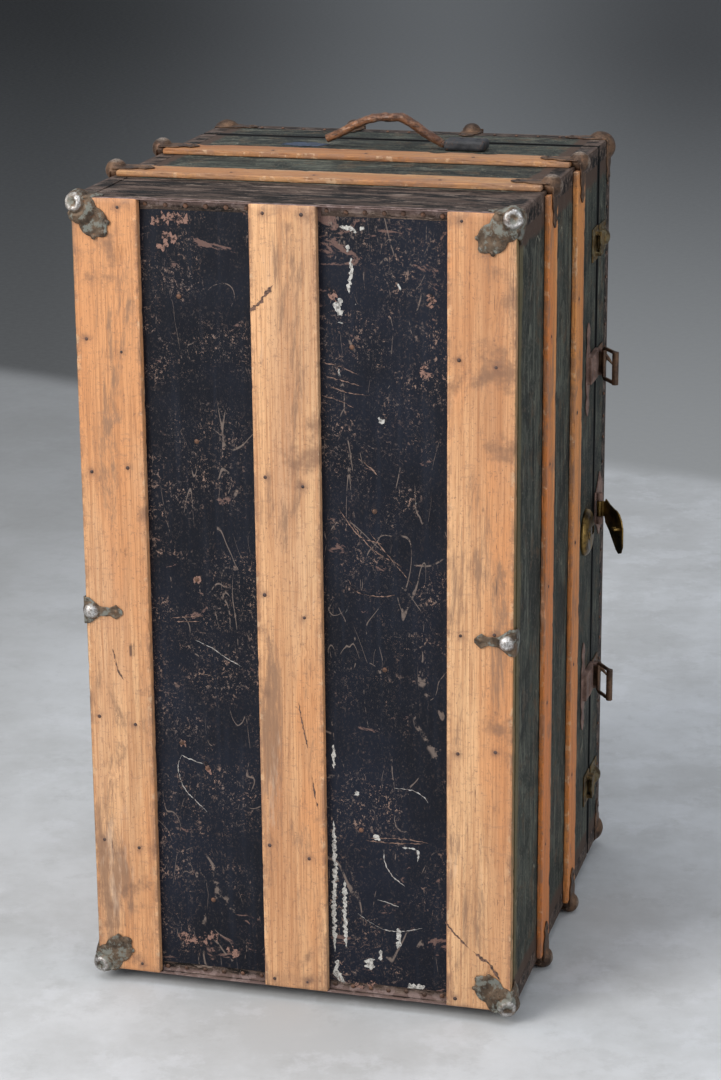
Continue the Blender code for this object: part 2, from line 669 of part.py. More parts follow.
make_case()
make_bottom_slats()
make_side_slats()
make_slat_clamps()
make_corner_bumpers()
make_mid_clamps()
make_lid()
make_lid_caps()
make_hinges()
make_latches()
make_dowels()
make_lock()
make_handles()
stand_on_origin()
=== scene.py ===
"""The looks of a worn steamer trunk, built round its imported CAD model.

Lengths are in metres. Points written in trunk coordinates have X and Z centred on the case and
Y = 0 on the outer face of the bottom slats; world() turns them into the frame's own coordinates.
+X is the lock side, -Y the slatted bottom, +Y the lid and +Z the upper end.
"""
import math

import bmesh
import bpy
import numpy as np
from mathutils import Euler, Matrix, Vector, noise

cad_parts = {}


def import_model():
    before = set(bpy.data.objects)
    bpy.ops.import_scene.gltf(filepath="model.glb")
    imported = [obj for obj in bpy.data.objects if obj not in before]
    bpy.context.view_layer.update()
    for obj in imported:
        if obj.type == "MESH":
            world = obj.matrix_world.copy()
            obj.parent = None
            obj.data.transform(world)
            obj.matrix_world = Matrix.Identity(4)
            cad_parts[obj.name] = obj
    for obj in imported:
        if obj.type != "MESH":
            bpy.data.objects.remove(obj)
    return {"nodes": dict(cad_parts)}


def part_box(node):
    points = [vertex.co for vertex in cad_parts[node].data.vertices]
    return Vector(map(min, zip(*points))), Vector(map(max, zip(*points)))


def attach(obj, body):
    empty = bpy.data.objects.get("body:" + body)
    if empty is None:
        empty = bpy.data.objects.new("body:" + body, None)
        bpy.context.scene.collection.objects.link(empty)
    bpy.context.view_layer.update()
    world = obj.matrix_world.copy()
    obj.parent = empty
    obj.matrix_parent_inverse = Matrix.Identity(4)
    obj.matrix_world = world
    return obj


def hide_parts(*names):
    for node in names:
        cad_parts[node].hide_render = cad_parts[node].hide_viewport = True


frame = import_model()
noise.seed_set(7)             # the noise vectors would otherwise differ from run to run
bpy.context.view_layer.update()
NODES = frame["nodes"]

# Sizes read from the frame
CASE_LOW, CASE_HIGH = (Vector(corner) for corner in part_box("body_case"))
SLAT_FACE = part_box("bottom_slat_middle")[0][1]
ORIGIN = Vector(((CASE_LOW.x + CASE_HIGH.x) / 2, SLAT_FACE, (CASE_LOW.z + CASE_HIGH.z) / 2))
HALF_W = (CASE_HIGH.x - CASE_LOW.x) / 2
HALF_L = (CASE_HIGH.z - CASE_LOW.z) / 2
BOTTOM_Y = CASE_LOW.y - SLAT_FACE
LID_LOW, LID_HIGH = (Vector(corner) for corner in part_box("lid_shell"))
LID_RIM = LID_LOW.y - SLAT_FACE
LID_TOP = LID_HIGH.y - SLAT_FACE
BODY_RIM = LID_RIM - 0.007
SEAM_SHADOW_HALF = 0.0085            # half the height of the painted shadow band over the lid's joint
END_COVER_Y = 0.130           # how far up the ends the dark cover of the bottom edge reaches

X, Y, Z = Vector((1, 0, 0)), Vector((0, 1, 0)), Vector((0, 0, 1))
ENDS = {"upper": 1, "lower": -1}
SIDES = {"front": 1, "back": -1}


def world(x, y, z):
    return ORIGIN + Vector((x, y, z))


# Node trees

class Look:
    """A material under construction. Colours are linear RGB."""

    def __init__(self, name):
        self.material = bpy.data.materials.new(name)
        self.material.use_nodes = True
        self.tree = self.material.node_tree
        self.shader = self.tree.nodes["Principled BSDF"]
        self.place = self.add("ShaderNodeTexCoord").outputs["Object"]

    def add(self, kind, inputs=(), **settings):
        node = self.tree.nodes.new(kind)
        for name, value in settings.items():
            setattr(node, name, value)
        for key, value in dict(inputs).items():
            socket = node.inputs[key]
            if isinstance(value, bpy.types.NodeSocket):
                self.tree.links.new(value, socket)
            elif isinstance(value, (tuple, list)) and len(value) == 3 and socket.type == "RGBA":
                socket.default_value = (*value, 1)
            else:
                socket.default_value = value
        return node

    def scaled(self, stretch, turn=(0, 0, 0), shift=(0, 0, 0)):
        made = self.add("ShaderNodeMapping", {"Vector": self.place, "Scale": stretch,
                                              "Rotation": turn, "Location": shift})
        return made.outputs[0]

    def noise(self, scale, detail=4, rough=0.55, stretch=(1, 1, 1), distort=0.0, turn=(0, 0, 0),
              shift=(0, 0, 0)):
        made = self.add("ShaderNodeTexNoise", {
            "Vector": self.scaled(stretch, turn, shift), "Scale": scale, "Detail": detail,
            "Roughness": rough, "Distortion": distort})
        return made.outputs["Fac"]

    def cells(self, scale, stretch=(1, 1, 1), feature="F1"):
        made = self.add("ShaderNodeTexVoronoi", {"Vector": self.scaled(stretch), "Scale": scale},
                        feature=feature)
        return made.outputs["Distance"]

    def waves(self, scale, axis, distort=0.0, stretch=(1, 1, 1)):
        made = self.add("ShaderNodeTexWave", {
            "Vector": self.scaled(stretch), "Scale": scale, "Distortion": distort, "Detail": 2.0},
            bands_direction=axis)
        return made.outputs["Fac"]

    def ramp(self, value, low, high, out_low=0.0, out_high=1.0):
        made = self.add("ShaderNodeMapRange", {
            "Value": value, "From Min": low, "From Max": high, "To Min": out_low,
            "To Max": out_high}, interpolation_type="SMOOTHSTEP")
        return made.outputs[0]

    def math(self, operation, a, b=0.0):
        made = self.add("ShaderNodeMath", {0: a, 1: b}, operation=operation)
        return made.outputs[0]

    def times(self, a, b):
        return self.math("MULTIPLY", a, b)

    def apart(self, a, b):
        """The size of the difference of two values."""
        return self.math("ABSOLUTE", self.math("SUBTRACT", a, b))

    def line(self, value, middle, width):
        """1 where value is near middle: turns a smooth noise into thin curved lines."""
        return self.ramp(self.apart(value, middle), width * 0.4, width, 1.0, 0.0)

    def mix(self, share, a, b):
        made = self.add("ShaderNodeMix", {0: share, 6: a, 7: b}, data_type="RGBA")
        return made.outputs[2]

    def layer(self, base, colour, value, low, high, most=1.0):
        """A colour over base where value has risen from low to high."""
        return self.mix(self.ramp(value, low, high, 0, most), base, colour)

    def axis(self, name):
        return self.add("ShaderNodeSeparateXYZ", {0: self.place}).outputs[name]

    def attribute(self, name):
        return self.add("ShaderNodeAttribute", attribute_name=name).outputs["Fac"]

    def bumps(self, *heights):
        """Bump nodes in a chain, one for each (height, distance in metres, strength)."""
        normal = None
        for height, distance, strength in heights:
            made = self.add("ShaderNodeBump", {"Height": height, "Distance": distance,
                                               "Strength": strength})
            if normal:
                self.tree.links.new(normal, made.inputs["Normal"])
            normal = made.outputs[0]
        self.tree.links.new(normal, self.shader.inputs["Normal"])

    def set(self, **inputs):
        for name, value in inputs.items():
            socket = self.shader.inputs[name.replace("_", " ")]
            if isinstance(value, bpy.types.NodeSocket):
                self.tree.links.new(value, socket)
            elif isinstance(value, (tuple, list)):
                socket.default_value = (*value, 1)
            else:
                socket.default_value = value


# Materials

def slat_wood(name, along, tint=(1.0, 1.0, 1.0)):
    """Bare, handled pine: straight grain along one axis, grime in patches and dark worn corners."""
    look = Look(name)

    def tone(*colour):
        return tuple(c * t for c, t in zip(colour, tint))

    fine = {"X": (0.012, 1, 1), "Z": (1, 1, 0.012)}[along]
    broad = {"X": (0.06, 1, 1), "Z": (1, 1, 0.06)}[along]
    short = {"X": (0.16, 1, 1), "Z": (1, 1, 0.16)}[along]
    lines = look.noise(330, 3, 0.6, fine)
    grain = look.noise(900, 3, 0.6, fine)
    figure = look.noise(30, 4, 0.6, broad, 0.35)
    patches = look.noise(7, 5, 0.62, broad)
    grime = look.noise(30, 9, 0.75, short, 0.4)
    blots = look.noise(13, 6, 0.66)
    pores = look.noise(520, 4, 0.7, short)
    base = look.mix(look.ramp(figure, 0.32, 0.68), tone(0.50, 0.225, 0.105), tone(0.78, 0.425, 0.215))
    base = look.layer(base, tone(0.80, 0.50, 0.27), patches, 0.42, 0.66, 0.60)
    base = look.layer(base, tone(0.66, 0.275, 0.110), look.noise(6, 5, 0.65, short), 0.50, 0.62, 0.75)
    base = look.layer(base, tone(0.50, 0.275, 0.165), look.noise(9, 5, 0.6, short, shift=(9, 2, 4)), 0.50,
                      0.68, 0.55)
    base = look.layer(base, tone(0.42, 0.175, 0.075), lines, 0.50, 0.60, 0.48)
    base = look.layer(base, tone(0.36, 0.15, 0.065), grain, 0.50, 0.60, 0.44)
    base = look.layer(base, tone(0.26, 0.12, 0.07), pores, 0.575, 0.64, 0.42)
    specks = look.ramp(look.noise(230, 6, 0.78, shift=(2, 9, 1)), 0.585, 0.62, 0, 0.60)
    base = look.mix(specks, base, tone(0.24, 0.120, 0.075))
    base = look.layer(base, (0.27, 0.155, 0.095), grime, 0.515, 0.64, 0.85)
    base = look.layer(base, (0.22, 0.120, 0.075), blots, 0.570, 0.70, 0.75)
    pale = look.ramp(look.noise(19, 6, 0.7, short, shift=(3, 1, 2)), 0.60, 0.70, 0, 0.35)
    base = look.mix(pale, base, (0.80, 0.60, 0.44))
    across = look.ramp(look.noise(190, 6, 0.78, {"X": (1, 0.3, 0.3), "Z": (0.3, 1, 1)}[along]), 0.575,
                       0.62, 0, 0.32)
    base = look.mix(across, base, (0.30, 0.165, 0.105))
    cracks = look.line(look.noise(34, 2, 0.5, fine, shift=(1, 5, 2)), 0.5, 0.006)
    broken = look.ramp(look.noise(16, 4, 0.6, shift=(0, 3, 0)), 0.60, 0.66)
    cracks = look.times(cracks, broken)
    base = look.mix(look.times(cracks, 0.85), base, (0.10, 0.055, 0.040))
    scrape = look.line(look.noise(6, 1.5, 0.5, (1, 1, 0.5), 0.5, (0.3, 0.9, 0)), 0.5, 0.0035)
    scrape = look.times(scrape, look.ramp(look.noise(11, 5, 0.7, shift=(6, 0, 0)), 0.57, 0.63))
    base = look.mix(look.times(scrape, 0.45), base, (0.20, 0.11, 0.07))
    ragged = look.ramp(look.noise(24, 8, 0.8), 0.47, 0.56)
    worn = look.times(look.attribute("edge"), ragged)
    base = look.mix(look.times(worn, 0.62), base, (0.25, 0.135, 0.085))
    chipped = look.times(look.attribute("edge"),
                         look.ramp(look.noise(60, 6, 0.7, shift=(7, 7, 7)), 0.57, 0.62))
    base = look.mix(look.times(chipped, 0.32), base, (0.82, 0.60, 0.38))
    dirty_end = look.times(look.attribute("end"), look.ramp(look.noise(45, 5), 0.38, 0.68))
    base = look.mix(look.times(dirty_end, 0.6), base, (0.20, 0.115, 0.080))
    stain = look.times(look.attribute("stain"), look.ramp(look.noise(120, 5), 0.30, 0.62))
    base = look.mix(look.times(stain, 0.75), base, (0.15, 0.080, 0.060))
    outer = look.apart(look.axis("X"), ORIGIN.x)
    if along == "Z" and name.startswith("pine_bottom"):
        side = look.ramp(outer, HALF_W - 0.0024, HALF_W - 0.0008)
        side = look.times(side, look.ramp(look.noise(45, 6, 0.7, short), 0.38, 0.56, 0.25, 1.0))
        base = look.mix(side, base, (0.145, 0.105, 0.040))
    look.set(Base_Color=base, Roughness=look.ramp(grime, 0.3, 0.75, 0.50, 0.72),
             Specular_IOR_Level=0.30)
    look.bumps((lines, 0.0006, 0.5), (grain, 0.0004, 0.4), (grime, 0.0010, 0.35), (cracks, 0.0006, -0.7))
    return look.material


def black_sheet():
    """Japanned sheet metal: rust freckles, rubbed patches, curved scratches and paint flecks."""
    look = Look("black_sheet")
    cloud = look.noise(6, 5, 0.6)
    base = look.mix(look.ramp(cloud, 0.35, 0.65), (0.0018, 0.0030, 0.0078), (0.0050, 0.0076, 0.0170))
    drip = look.ramp(look.noise(120, 3, 0.5, (1, 1, 0.045)), 0.5, 0.75, 0, 0.30)
    base = look.mix(drip, base, (0.016, 0.020, 0.033))
    dust = look.ramp(look.noise(520, 5, 0.8, (1, 1, 0.55)), 0.575, 0.64, 0, 0.50)
    base = look.mix(dust, base, (0.085, 0.066, 0.058))
    spread = look.ramp(look.noise(13, 6, 0.7), 0.45, 0.61, 0.05, 1.0)
    freckles = 0.0
    for scale, low, stretch in ((300, 0.582, 0.5), (130, 0.606, 0.7), (210, 0.592, 1.6)):
        one = look.ramp(look.noise(scale, 7, 0.78, (1, 1, stretch), shift=(scale, 0, 0)), low,
                        low + 0.022)
        freckles = look.math("MAXIMUM", one, freckles)
    freckles = look.times(freckles, spread)
    warm = look.mix(look.ramp(look.noise(60, 4), 0.4, 0.6), (0.150, 0.112, 0.098), (0.300, 0.195, 0.150))
    base = look.mix(freckles, base, warm)
    height = look.math("SUBTRACT", look.axis("Z"), ORIGIN.z)
    near_end = look.ramp(look.math("ABSOLUTE", height), 0.33, 0.44)
    patch_level = look.math("ADD", look.noise(24, 9, 0.72, (0.8, 1, 1.6), 0.6),
                            look.times(near_end, 0.080))
    rubbed = look.ramp(patch_level, 0.640, 0.662)
    base = look.mix(look.times(rubbed, 0.80), base, (0.175, 0.105, 0.088))
    scratches = 0.0
    for turn, scale, width in ((0.5, 10, 0.0030), (-0.9, 7, 0.0022), (1.5, 13, 0.0030),
                               (0.1, 18, 0.0040), (1.1, 24, 0.0040), (-0.3, 15, 0.0030)):
        curve = look.noise(scale, 1.5, 0.5, (1, 1, 0.35), 0.7, (0, turn, 0), (turn, 0, scale))
        broken = look.ramp(look.noise(14, 6, 0.75, shift=(scale, 0, 0)), 0.555, 0.60)
        one = look.times(look.line(curve, 0.5, width), broken)
        scratches = look.math("MAXIMUM", one, scratches)
    base = look.mix(look.times(scratches, 0.65), base, (0.23, 0.175, 0.145))
    right = look.ramp(look.axis("X"), ORIGIN.x + 0.03, ORIGIN.x + 0.05)
    paint_level = look.noise(95, 6, 0.74, (1.2, 1, 0.7), 0.2, shift=(4.2, 0, 1.7))
    area = look.ramp(look.noise(6, 3, 0.5, shift=(0, 0, 7.3)), 0.50, 0.60)
    paint = look.times(look.ramp(paint_level, 0.665, 0.68), look.times(area, right))
    base = look.mix(paint, base, (0.46, 0.43, 0.39))
    matt = look.math("MAXIMUM", freckles, look.math("MAXIMUM", rubbed, paint))
    roughness = look.math("MAXIMUM", look.ramp(cloud, 0.3, 0.7, 0.42, 0.55),
                          look.times(matt, 0.85))
    look.set(Base_Color=base, Roughness=roughness, Specular_IOR_Level=0.24)
    look.bumps((matt, 0.0003, 0.35), (look.noise(60, 4), 0.0008, 0.25), (scratches, 0.0003, -0.5))
    return look.material


def flaked(name, low, high, scale=160, rough=0.75, edges=(0.38, 0.58)):
    """A plain ragged finish for a mark on the sheet: old paint, rust or bared metal."""
    look = Look(name)
    flake = look.noise(scale, 7, 0.78)
    base = look.mix(look.ramp(flake, *edges), low, high)
    look.set(Base_Color=base, Roughness=rough, Specular_IOR_Level=0.24)
    look.bumps((flake, 0.0004, 0.6))
    return look.material


def outside_of(look, low, high, margin):
    """1 outside a box, and 0 inside it, from the object coordinates."""
    most = 0.0
    for name, a, b in zip("XYZ", low, high):
        middle, half = (a + b) / 2, (b - a) / 2
        off = look.apart(look.axis(name), middle)
        most = look.math("MAXIMUM", look.math("SUBTRACT", off, half - margin), most)
    return look.ramp(most, 0.0, 0.0004)


def canvas(name, low, high, rim_y):
    """Painted canvas on boards, browned and bared along the case's edges, and a papered inside, with
    painted shade along the joint between body and lid.
    """
    look = Look(name)
    threads = look.times(look.waves(330, "X"), look.waves(330, "Z"))
    threads = look.math("MAXIMUM", threads, look.times(look.waves(330, "Y"), 0.6))
    cloud = look.noise(8, 6, 0.68)
    base = look.mix(look.ramp(cloud, 0.38, 0.60), (0.0060, 0.0095, 0.0085), (0.044, 0.050, 0.041))
    on_end = look.ramp(look.apart(look.axis("Z"), ORIGIN.z),
                       HALF_L - 0.0025, HALF_L - 0.0005)
    for stretch, most, share in (((1, 1, 0.10), 0.55, look.math("SUBTRACT", 1.0, on_end)),
                                 ((0.10, 1, 1), 0.70, on_end)):
        rubs = look.ramp(look.noise(210, 6, 0.78, stretch), 0.510, 0.575)
        amount = look.ramp(look.noise(15, 5, 0.65, shift=(210, most, 0)), 0.42, 0.56, 0.12, most)
        rubs = look.times(rubs, look.times(amount, share))
        base = look.mix(rubs, base, (0.190, 0.190, 0.150))
        worn = look.ramp(look.noise(75, 7, 0.80, stretch, shift=(7, 1, 3)), 0.525, 0.585, 0, 0.34)
        base = look.mix(look.times(worn, share), base, (0.165, 0.165, 0.128))
        dark = look.ramp(look.noise(90, 5, 0.75, stretch, shift=(3, 3, 3)), 0.510, 0.575, 0, 0.60)
        base = look.mix(look.times(dark, share), base, (0.006, 0.008, 0.0075))
    stains = look.ramp(look.noise(34, 7, 0.75, distort=0.5), 0.53, 0.60)
    base = look.mix(look.times(stains, 0.70), base, (0.080, 0.054, 0.033))
    soot = look.ramp(look.noise(22, 7, 0.72, shift=(5, 5, 5)), 0.52, 0.60, 0, 0.75)
    base = look.mix(soot, base, (0.012, 0.014, 0.013))
    flecks = look.ramp(look.noise(420, 5, 0.8), 0.595, 0.625)
    base = look.mix(look.times(flecks, 0.7), base, (0.32, 0.30, 0.22))
    scratch = 0.0
    for turn, scale in ((0.2, 10), (1.3, 14), (-0.7, 17)):
        curve = look.noise(scale, 2, 0.5, (1, 1, 0.3), 0.6, (turn, turn, 0), (scale, 0, 0))
        broken = look.ramp(look.noise(12, 5, 0.7, shift=(0, scale, 0)), 0.55, 0.61)
        scratch = look.math("MAXIMUM", scratch, look.times(look.line(curve, 0.5, 0.003), broken))
    base = look.mix(look.times(scratch, 0.7), base, (0.27, 0.25, 0.19))
    height = look.math("SUBTRACT", look.axis("Y"), ORIGIN.y)
    olive = look.ramp(look.math("ADD", height, look.times(look.noise(50, 6, 0.72, (1, 1, 0.3)), 0.05)),
                      0.044, 0.056, 1.0, 0.0)
    base = look.mix(look.times(olive, 0.62), base, (0.150, 0.118, 0.055))
    off_seam = look.apart(height, (BODY_RIM + LID_RIM) / 2)
    seam_shadow = look.ramp(off_seam, SEAM_SHADOW_HALF, SEAM_SHADOW_HALF + 0.0012, 1.0, 0.0)
    near_x = look.ramp(look.apart(look.axis("X"), ORIGIN.x),
                       HALF_W - 0.050, HALF_W - 0.020)
    near_z = look.ramp(look.apart(look.axis("Z"), ORIGIN.z),
                       HALF_L - 0.058, HALF_L - 0.022)
    corner = look.times(near_x, near_z)
    ragged = look.ramp(look.math("ADD", corner, look.times(look.noise(40, 7, 0.75), 0.9)),
                       0.92, 1.20)
    base = look.mix(look.times(ragged, 0.9), base, (0.070, 0.042, 0.030))
    inside = outside_of(look, low, high, 0.0030)
    paper = look.mix(look.ramp(look.noise(5, 6, 0.7), 0.38, 0.66), (0.30, 0.22, 0.13), (0.56, 0.47, 0.33))
    stripe = look.ramp(look.waves(32, "X", 0.4), 0.70, 0.80)
    paper = look.mix(look.times(stripe, 0.30), paper, (0.20, 0.12, 0.09))
    paper = look.layer(paper, (0.17, 0.105, 0.055), look.noise(24, 7, 0.75), 0.60, 0.70, 0.7)
    # Near black on the body's lip above the rim: dark paint on the lip and painted shade, so the joint
    # between body and lid reads black.
    rim_paint_and_shade = look.ramp(look.axis("Y"), rim_y[0], rim_y[1])
    paper = look.mix(rim_paint_and_shade, paper, (0.010, 0.009, 0.008))
    base = look.mix(inside, paper, base)
    # Painted shadow: a near-black band over the joint between body and lid, where the gap lies in shade.
    base = look.mix(seam_shadow, base, (0.0020, 0.0020, 0.0020))
    look.set(Base_Color=base, Roughness=look.ramp(cloud, 0.3, 0.7, 0.62, 0.80), Specular_IOR_Level=0.20)
    look.bumps((threads, 0.0004, 0.45), (look.noise(40, 5), 0.0012, 0.45), (scratch, 0.0004, -0.5))
    return look.material


def worn_cover(name, fold_tone, bare_tone):
    """The leather cloth round the edges: near black, streaked with brown and rubbed at the fold."""
    look = Look(name)
    cloud = look.noise(16, 7, 0.75, (0.30, 1, 1))
    base = look.mix(look.ramp(cloud, 0.465, 0.535), (0.0030, 0.0028, 0.0030), (0.056, 0.038, 0.030))
    streak = look.ramp(look.noise(70, 7, 0.78, (0.14, 1, 1)), 0.520, 0.57, 0, 0.80)
    base = look.mix(streak, base, (0.130, 0.090, 0.072))
    dark = look.ramp(look.noise(70, 6, 0.75, (0.14, 1, 1), shift=(2, 4, 6)), 0.505, 0.56, 0, 0.92)
    base = look.mix(dark, base, (0.004, 0.0035, 0.0035))
    pale = look.ramp(look.noise(120, 6, 0.8, (0.16, 1, 1), shift=(8, 4, 6)), 0.565, 0.600, 0, 0.80)
    base = look.mix(pale, base, (0.24, 0.180, 0.145))
    fold = look.attribute("edge")
    ragged = look.math("ADD", fold, look.times(look.noise(55, 7, 0.75), 0.9))
    base = look.layer(base, fold_tone, ragged, 0.78, 1.25, 0.85)
    bare = look.times(look.ramp(look.noise(95, 5, 0.7), 0.50, 0.58), fold)
    base = look.mix(look.times(bare, 0.8), base, bare_tone)
    flecks = look.ramp(look.noise(420, 4, 0.8), 0.61, 0.65)
    base = look.mix(look.times(flecks, 0.5), base, (0.26, 0.21, 0.165))
    look.set(Base_Color=base, Roughness=look.ramp(cloud, 0.3, 0.7, 0.52, 0.74), Specular_IOR_Level=0.14)
    look.bumps((look.cells(700), 0.0003, 0.35), (look.noise(70, 6, 0.7, (0.3, 1, 1)), 0.0014, 0.7))
    return look.material


def old_metal(name, dark, light, patina=None, shine=(0.62, 0.60, 0.57), metallic=0.75):
    """Rusted pressed metal, bright where a "worn" attribute says that it has been rubbed; on the corner
    bumpers that attribute paints a highlight ring.
    """
    look = Look(name)
    cloud = look.noise(60, 6, 0.68)
    base = look.mix(look.ramp(cloud, 0.36, 0.66), dark, light)
    pits = look.noise(380, 5, 0.75)
    base = look.layer(base, tuple(0.45 * c for c in dark), pits, 0.54, 0.68, 0.75)
    rust = look.ramp(look.noise(110, 7, 0.75, distort=0.5), 0.55, 0.66)
    base = look.mix(look.times(rust, 0.55), base, (0.19, 0.075, 0.028))
    bare = look.times(look.attribute("worn"), look.ramp(pits, 0.36, 0.62, 1.0, 0.25))
    if patina:
        green = look.times(look.ramp(look.noise(85, 6, 0.7), 0.49, 0.58),
                          look.math("SUBTRACT", 1.0, look.attribute("worn")))
        base = look.mix(look.times(green, 0.70), base, patina)
        metal = look.times(look.math("SUBTRACT", 1.0, green), metallic)
    else:
        metal = look.ramp(rust, 0, 1, metallic, metallic * 0.35)
    base = look.mix(bare, base, shine)
    look.set(Base_Color=base, Metallic=metal,
             Roughness=look.math("SUBTRACT", look.ramp(cloud, 0.3, 0.7, 0.46, 0.66),
                                 look.times(bare, 0.18)))
    look.bumps((pits, 0.0005, 0.55), (cloud, 0.0012, 0.45))
    return look.material


def tarnished_brass():
    look = Look("tarnished_brass")
    cloud = look.noise(34, 6, 0.65)
    base = look.mix(look.ramp(cloud, 0.38, 0.64), (0.045, 0.026, 0.008), (0.33, 0.21, 0.065))
    spots = look.ramp(look.noise(190, 6, 0.75), 0.54, 0.66)
    base = look.mix(look.times(spots, 0.7), base, (0.030, 0.020, 0.010))
    base = look.mix(look.attribute("worn"), base, (0.62, 0.42, 0.14))
    brushed = look.noise(300, 3, 0.6, (1, 1, 0.1))
    look.set(Base_Color=base, Metallic=0.92, Roughness=look.ramp(cloud, 0.3, 0.7, 0.26, 0.48))
    look.bumps((brushed, 0.0002, 0.25), (cloud, 0.0008, 0.25))
    return look.material


def old_leather():
    """Thick strap leather: cracked across, paler and redder where the cracks open."""
    look = Look("old_leather")
    cloud = look.noise(26, 6, 0.7)
    base = look.mix(look.ramp(cloud, 0.38, 0.64), (0.075, 0.029, 0.014), (0.27, 0.115, 0.050))
    cracks = look.ramp(look.noise(260, 6, 0.72, (0.30, 1, 1), 0.8), 0.50, 0.60)
    base = look.mix(look.times(cracks, 0.6), base, (0.028, 0.014, 0.010))
    scuffs = look.ramp(look.noise(75, 6, 0.75), 0.56, 0.70)
    base = look.mix(look.times(scuffs, 0.6), base, (0.42, 0.25, 0.15))
    look.set(Base_Color=base, Roughness=look.ramp(scuffs, 0, 1, 0.40, 0.62), Specular_IOR_Level=0.5)
    look.bumps((cracks, 0.0008, 0.8), (look.cells(650), 0.0003, 0.3), (cloud, 0.0015, 0.5))
    return look.material


def bare_patch():
    """Where the missing handle cap kept the original blue paint, now scraped."""
    look = Look("blue_patch")
    flake = look.noise(170, 7, 0.78)
    base = look.mix(look.ramp(flake, 0.44, 0.58), (0.014, 0.026, 0.062), (0.060, 0.078, 0.112))
    base = look.layer(base, (0.020, 0.025, 0.032), look.noise(90, 6, 0.7), 0.52, 0.62)
    look.set(Base_Color=base, Roughness=look.ramp(flake, 0.3, 0.7, 0.55, 0.75))
    look.bumps((flake, 0.0006, 0.6))
    return look.material


def backdrop():
    """A wide floor in object coordinates: pale and blotched near the trunk, wall grey far behind it, with
    painted shade that darkens the floor to the left and the wall to the left and the top.
    """
    look = Look("backdrop")
    across, away = look.axis("X"), look.axis("Y")
    cloud = look.noise(3.0, 8, 0.70)
    fine = look.noise(60, 5, 0.7)
    floor = look.mix(look.ramp(cloud, 0.36, 0.64), (0.485, 0.49, 0.49), (0.60, 0.61, 0.62))
    floor = look.layer(floor, (0.70, 0.71, 0.74), look.noise(9, 7, 0.72), 0.53, 0.62, 0.25)
    floor = look.layer(floor, (0.36, 0.36, 0.355), look.noise(14, 7, 0.74, shift=(3, 3, 0)), 0.53, 0.63,
                       0.20)
    # Painted shadow: the floor darker far behind and to the left.
    far = look.times(look.ramp(away, 3.3, 5.4), look.ramp(across, 0.30, -0.60))
    floor = look.mix(look.times(far, 0.62), floor, (0.26, 0.26, 0.26))
    line = look.math("ADD", look.times(across, -0.648), 5.52)
    beyond = look.math("SUBTRACT", away, line)
    bearing = look.math("DIVIDE", across, look.math("MAXIMUM", away, 1.0))
    # Painted shade on the wall: darker to the left, towards the top and towards the upper right, as the
    # light falls on it.
    up = look.ramp(beyond, 0.2, 7.5)
    aside = look.ramp(bearing, 0.035, -0.125)
    right = look.times(look.ramp(bearing, 0.03, 0.12), up)
    wall = look.mix(look.times(aside, 0.77), (0.370, 0.374, 0.370), (0.060, 0.061, 0.060))
    wall = look.mix(look.times(up, 0.30), wall, (0.050, 0.051, 0.052))
    wall = look.mix(look.times(look.times(up, aside), 0.85), wall, (0.014, 0.0145, 0.015))
    wall = look.mix(look.times(right, 0.64), wall, (0.030, 0.031, 0.032))
    # Painted shadow: the floor darker to the left.
    side = look.ramp(across, -0.35, -0.65, 0.0, 0.30)
    floor = look.mix(side, floor, (0.30, 0.30, 0.29))
    base = look.mix(look.ramp(beyond, -0.09, 0.07), floor, wall)
    look.set(Base_Color=base, Roughness=look.ramp(fine, 0.3, 0.7, 0.65, 0.85), Specular_IOR_Level=0.15)
    look.bumps((fine, 0.0008, 0.2))
    return look.material


# Meshes

def made_piece(name, mesh, material, body, replaces=()):
    obj = bpy.data.objects.new(name, mesh)
    bpy.context.scene.collection.objects.link(obj)
    mesh.materials.clear()
    mesh.materials.append(material)
    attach(obj, body)
    if replaces:
        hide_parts(*replaces)
    return obj


def loft(rings, closed=True, attributes=()):
    """A mesh through rings, an array of sections by points by 3, with its ends filled."""
    sections, count = rings.shape[:2]
    index = np.arange(sections * count).reshape(sections, count)
    across = count if closed else count - 1
    nxt = np.roll(index, -1, axis=1)
    a, b = index[:-1, :across].ravel(), nxt[:-1, :across].ravel()
    c, d = nxt[1:, :across].ravel(), index[1:, :across].ravel()
    faces = np.stack((a, b, c, d), 1).tolist()
    if closed:
        faces += [index[0, ::-1].tolist(), index[-1].tolist()]
    mesh = bpy.data.meshes.new("loft")
    mesh.from_pydata(rings.reshape(-1, 3).tolist(), [], faces)
    made = bmesh.new()
    made.from_mesh(mesh)
    bmesh.ops.recalc_face_normals(made, faces=made.faces)
    made.to_mesh(mesh)
    made.free()
    for name, values in dict(attributes).items():
        layer = mesh.attributes.new(name, "FLOAT", "POINT")
        layer.data.foreach_set("value", np.asarray(values, dtype=np.float32).ravel())
    mesh.shade_smooth()
    mesh.set_sharp_from_angle(angle=math.radians(50))
    return mesh


def rounded_section(half_u, half_v, radius, step):
    """Points round a rounded rectangle, with how near each is to a corner."""
    points, near = [], []
    turns = ((1, -1), (1, 1), (-1, 1), (-1, -1))
    for corner, (su, sv) in enumerate(turns):
        cu, cv = su * (half_u - radius), sv * (half_v - radius)
        for i in range(4):
            angle = math.radians(-90 + 90 * corner + 30 * i)
            points.append((cu + radius * math.cos(angle), cv + radius * math.sin(angle)))
            near.append(1.0)
        next_u, next_v = (t * (h - radius) for t, h in zip(turns[(corner + 1) % 4], (half_u, half_v)))
        end_angle = math.radians(90 * corner)
        start = Vector(points[-1])
        stop = Vector((next_u + radius * math.cos(end_angle), next_v + radius * math.sin(end_angle)))
        count = max(2, int((stop - start).length / step))
        for i in range(1, count):
            points.append(tuple(start.lerp(stop, i / count)))
            reach = min(i, count - i) * (stop - start).length / count
            near.append(max(0.0, 1 - reach / 0.005))
    return np.array(points), np.array(near)


def wobble(point, scale, seed):
    return noise.noise(Vector(point) * scale + Vector((seed, seed * 0.7, -seed)))


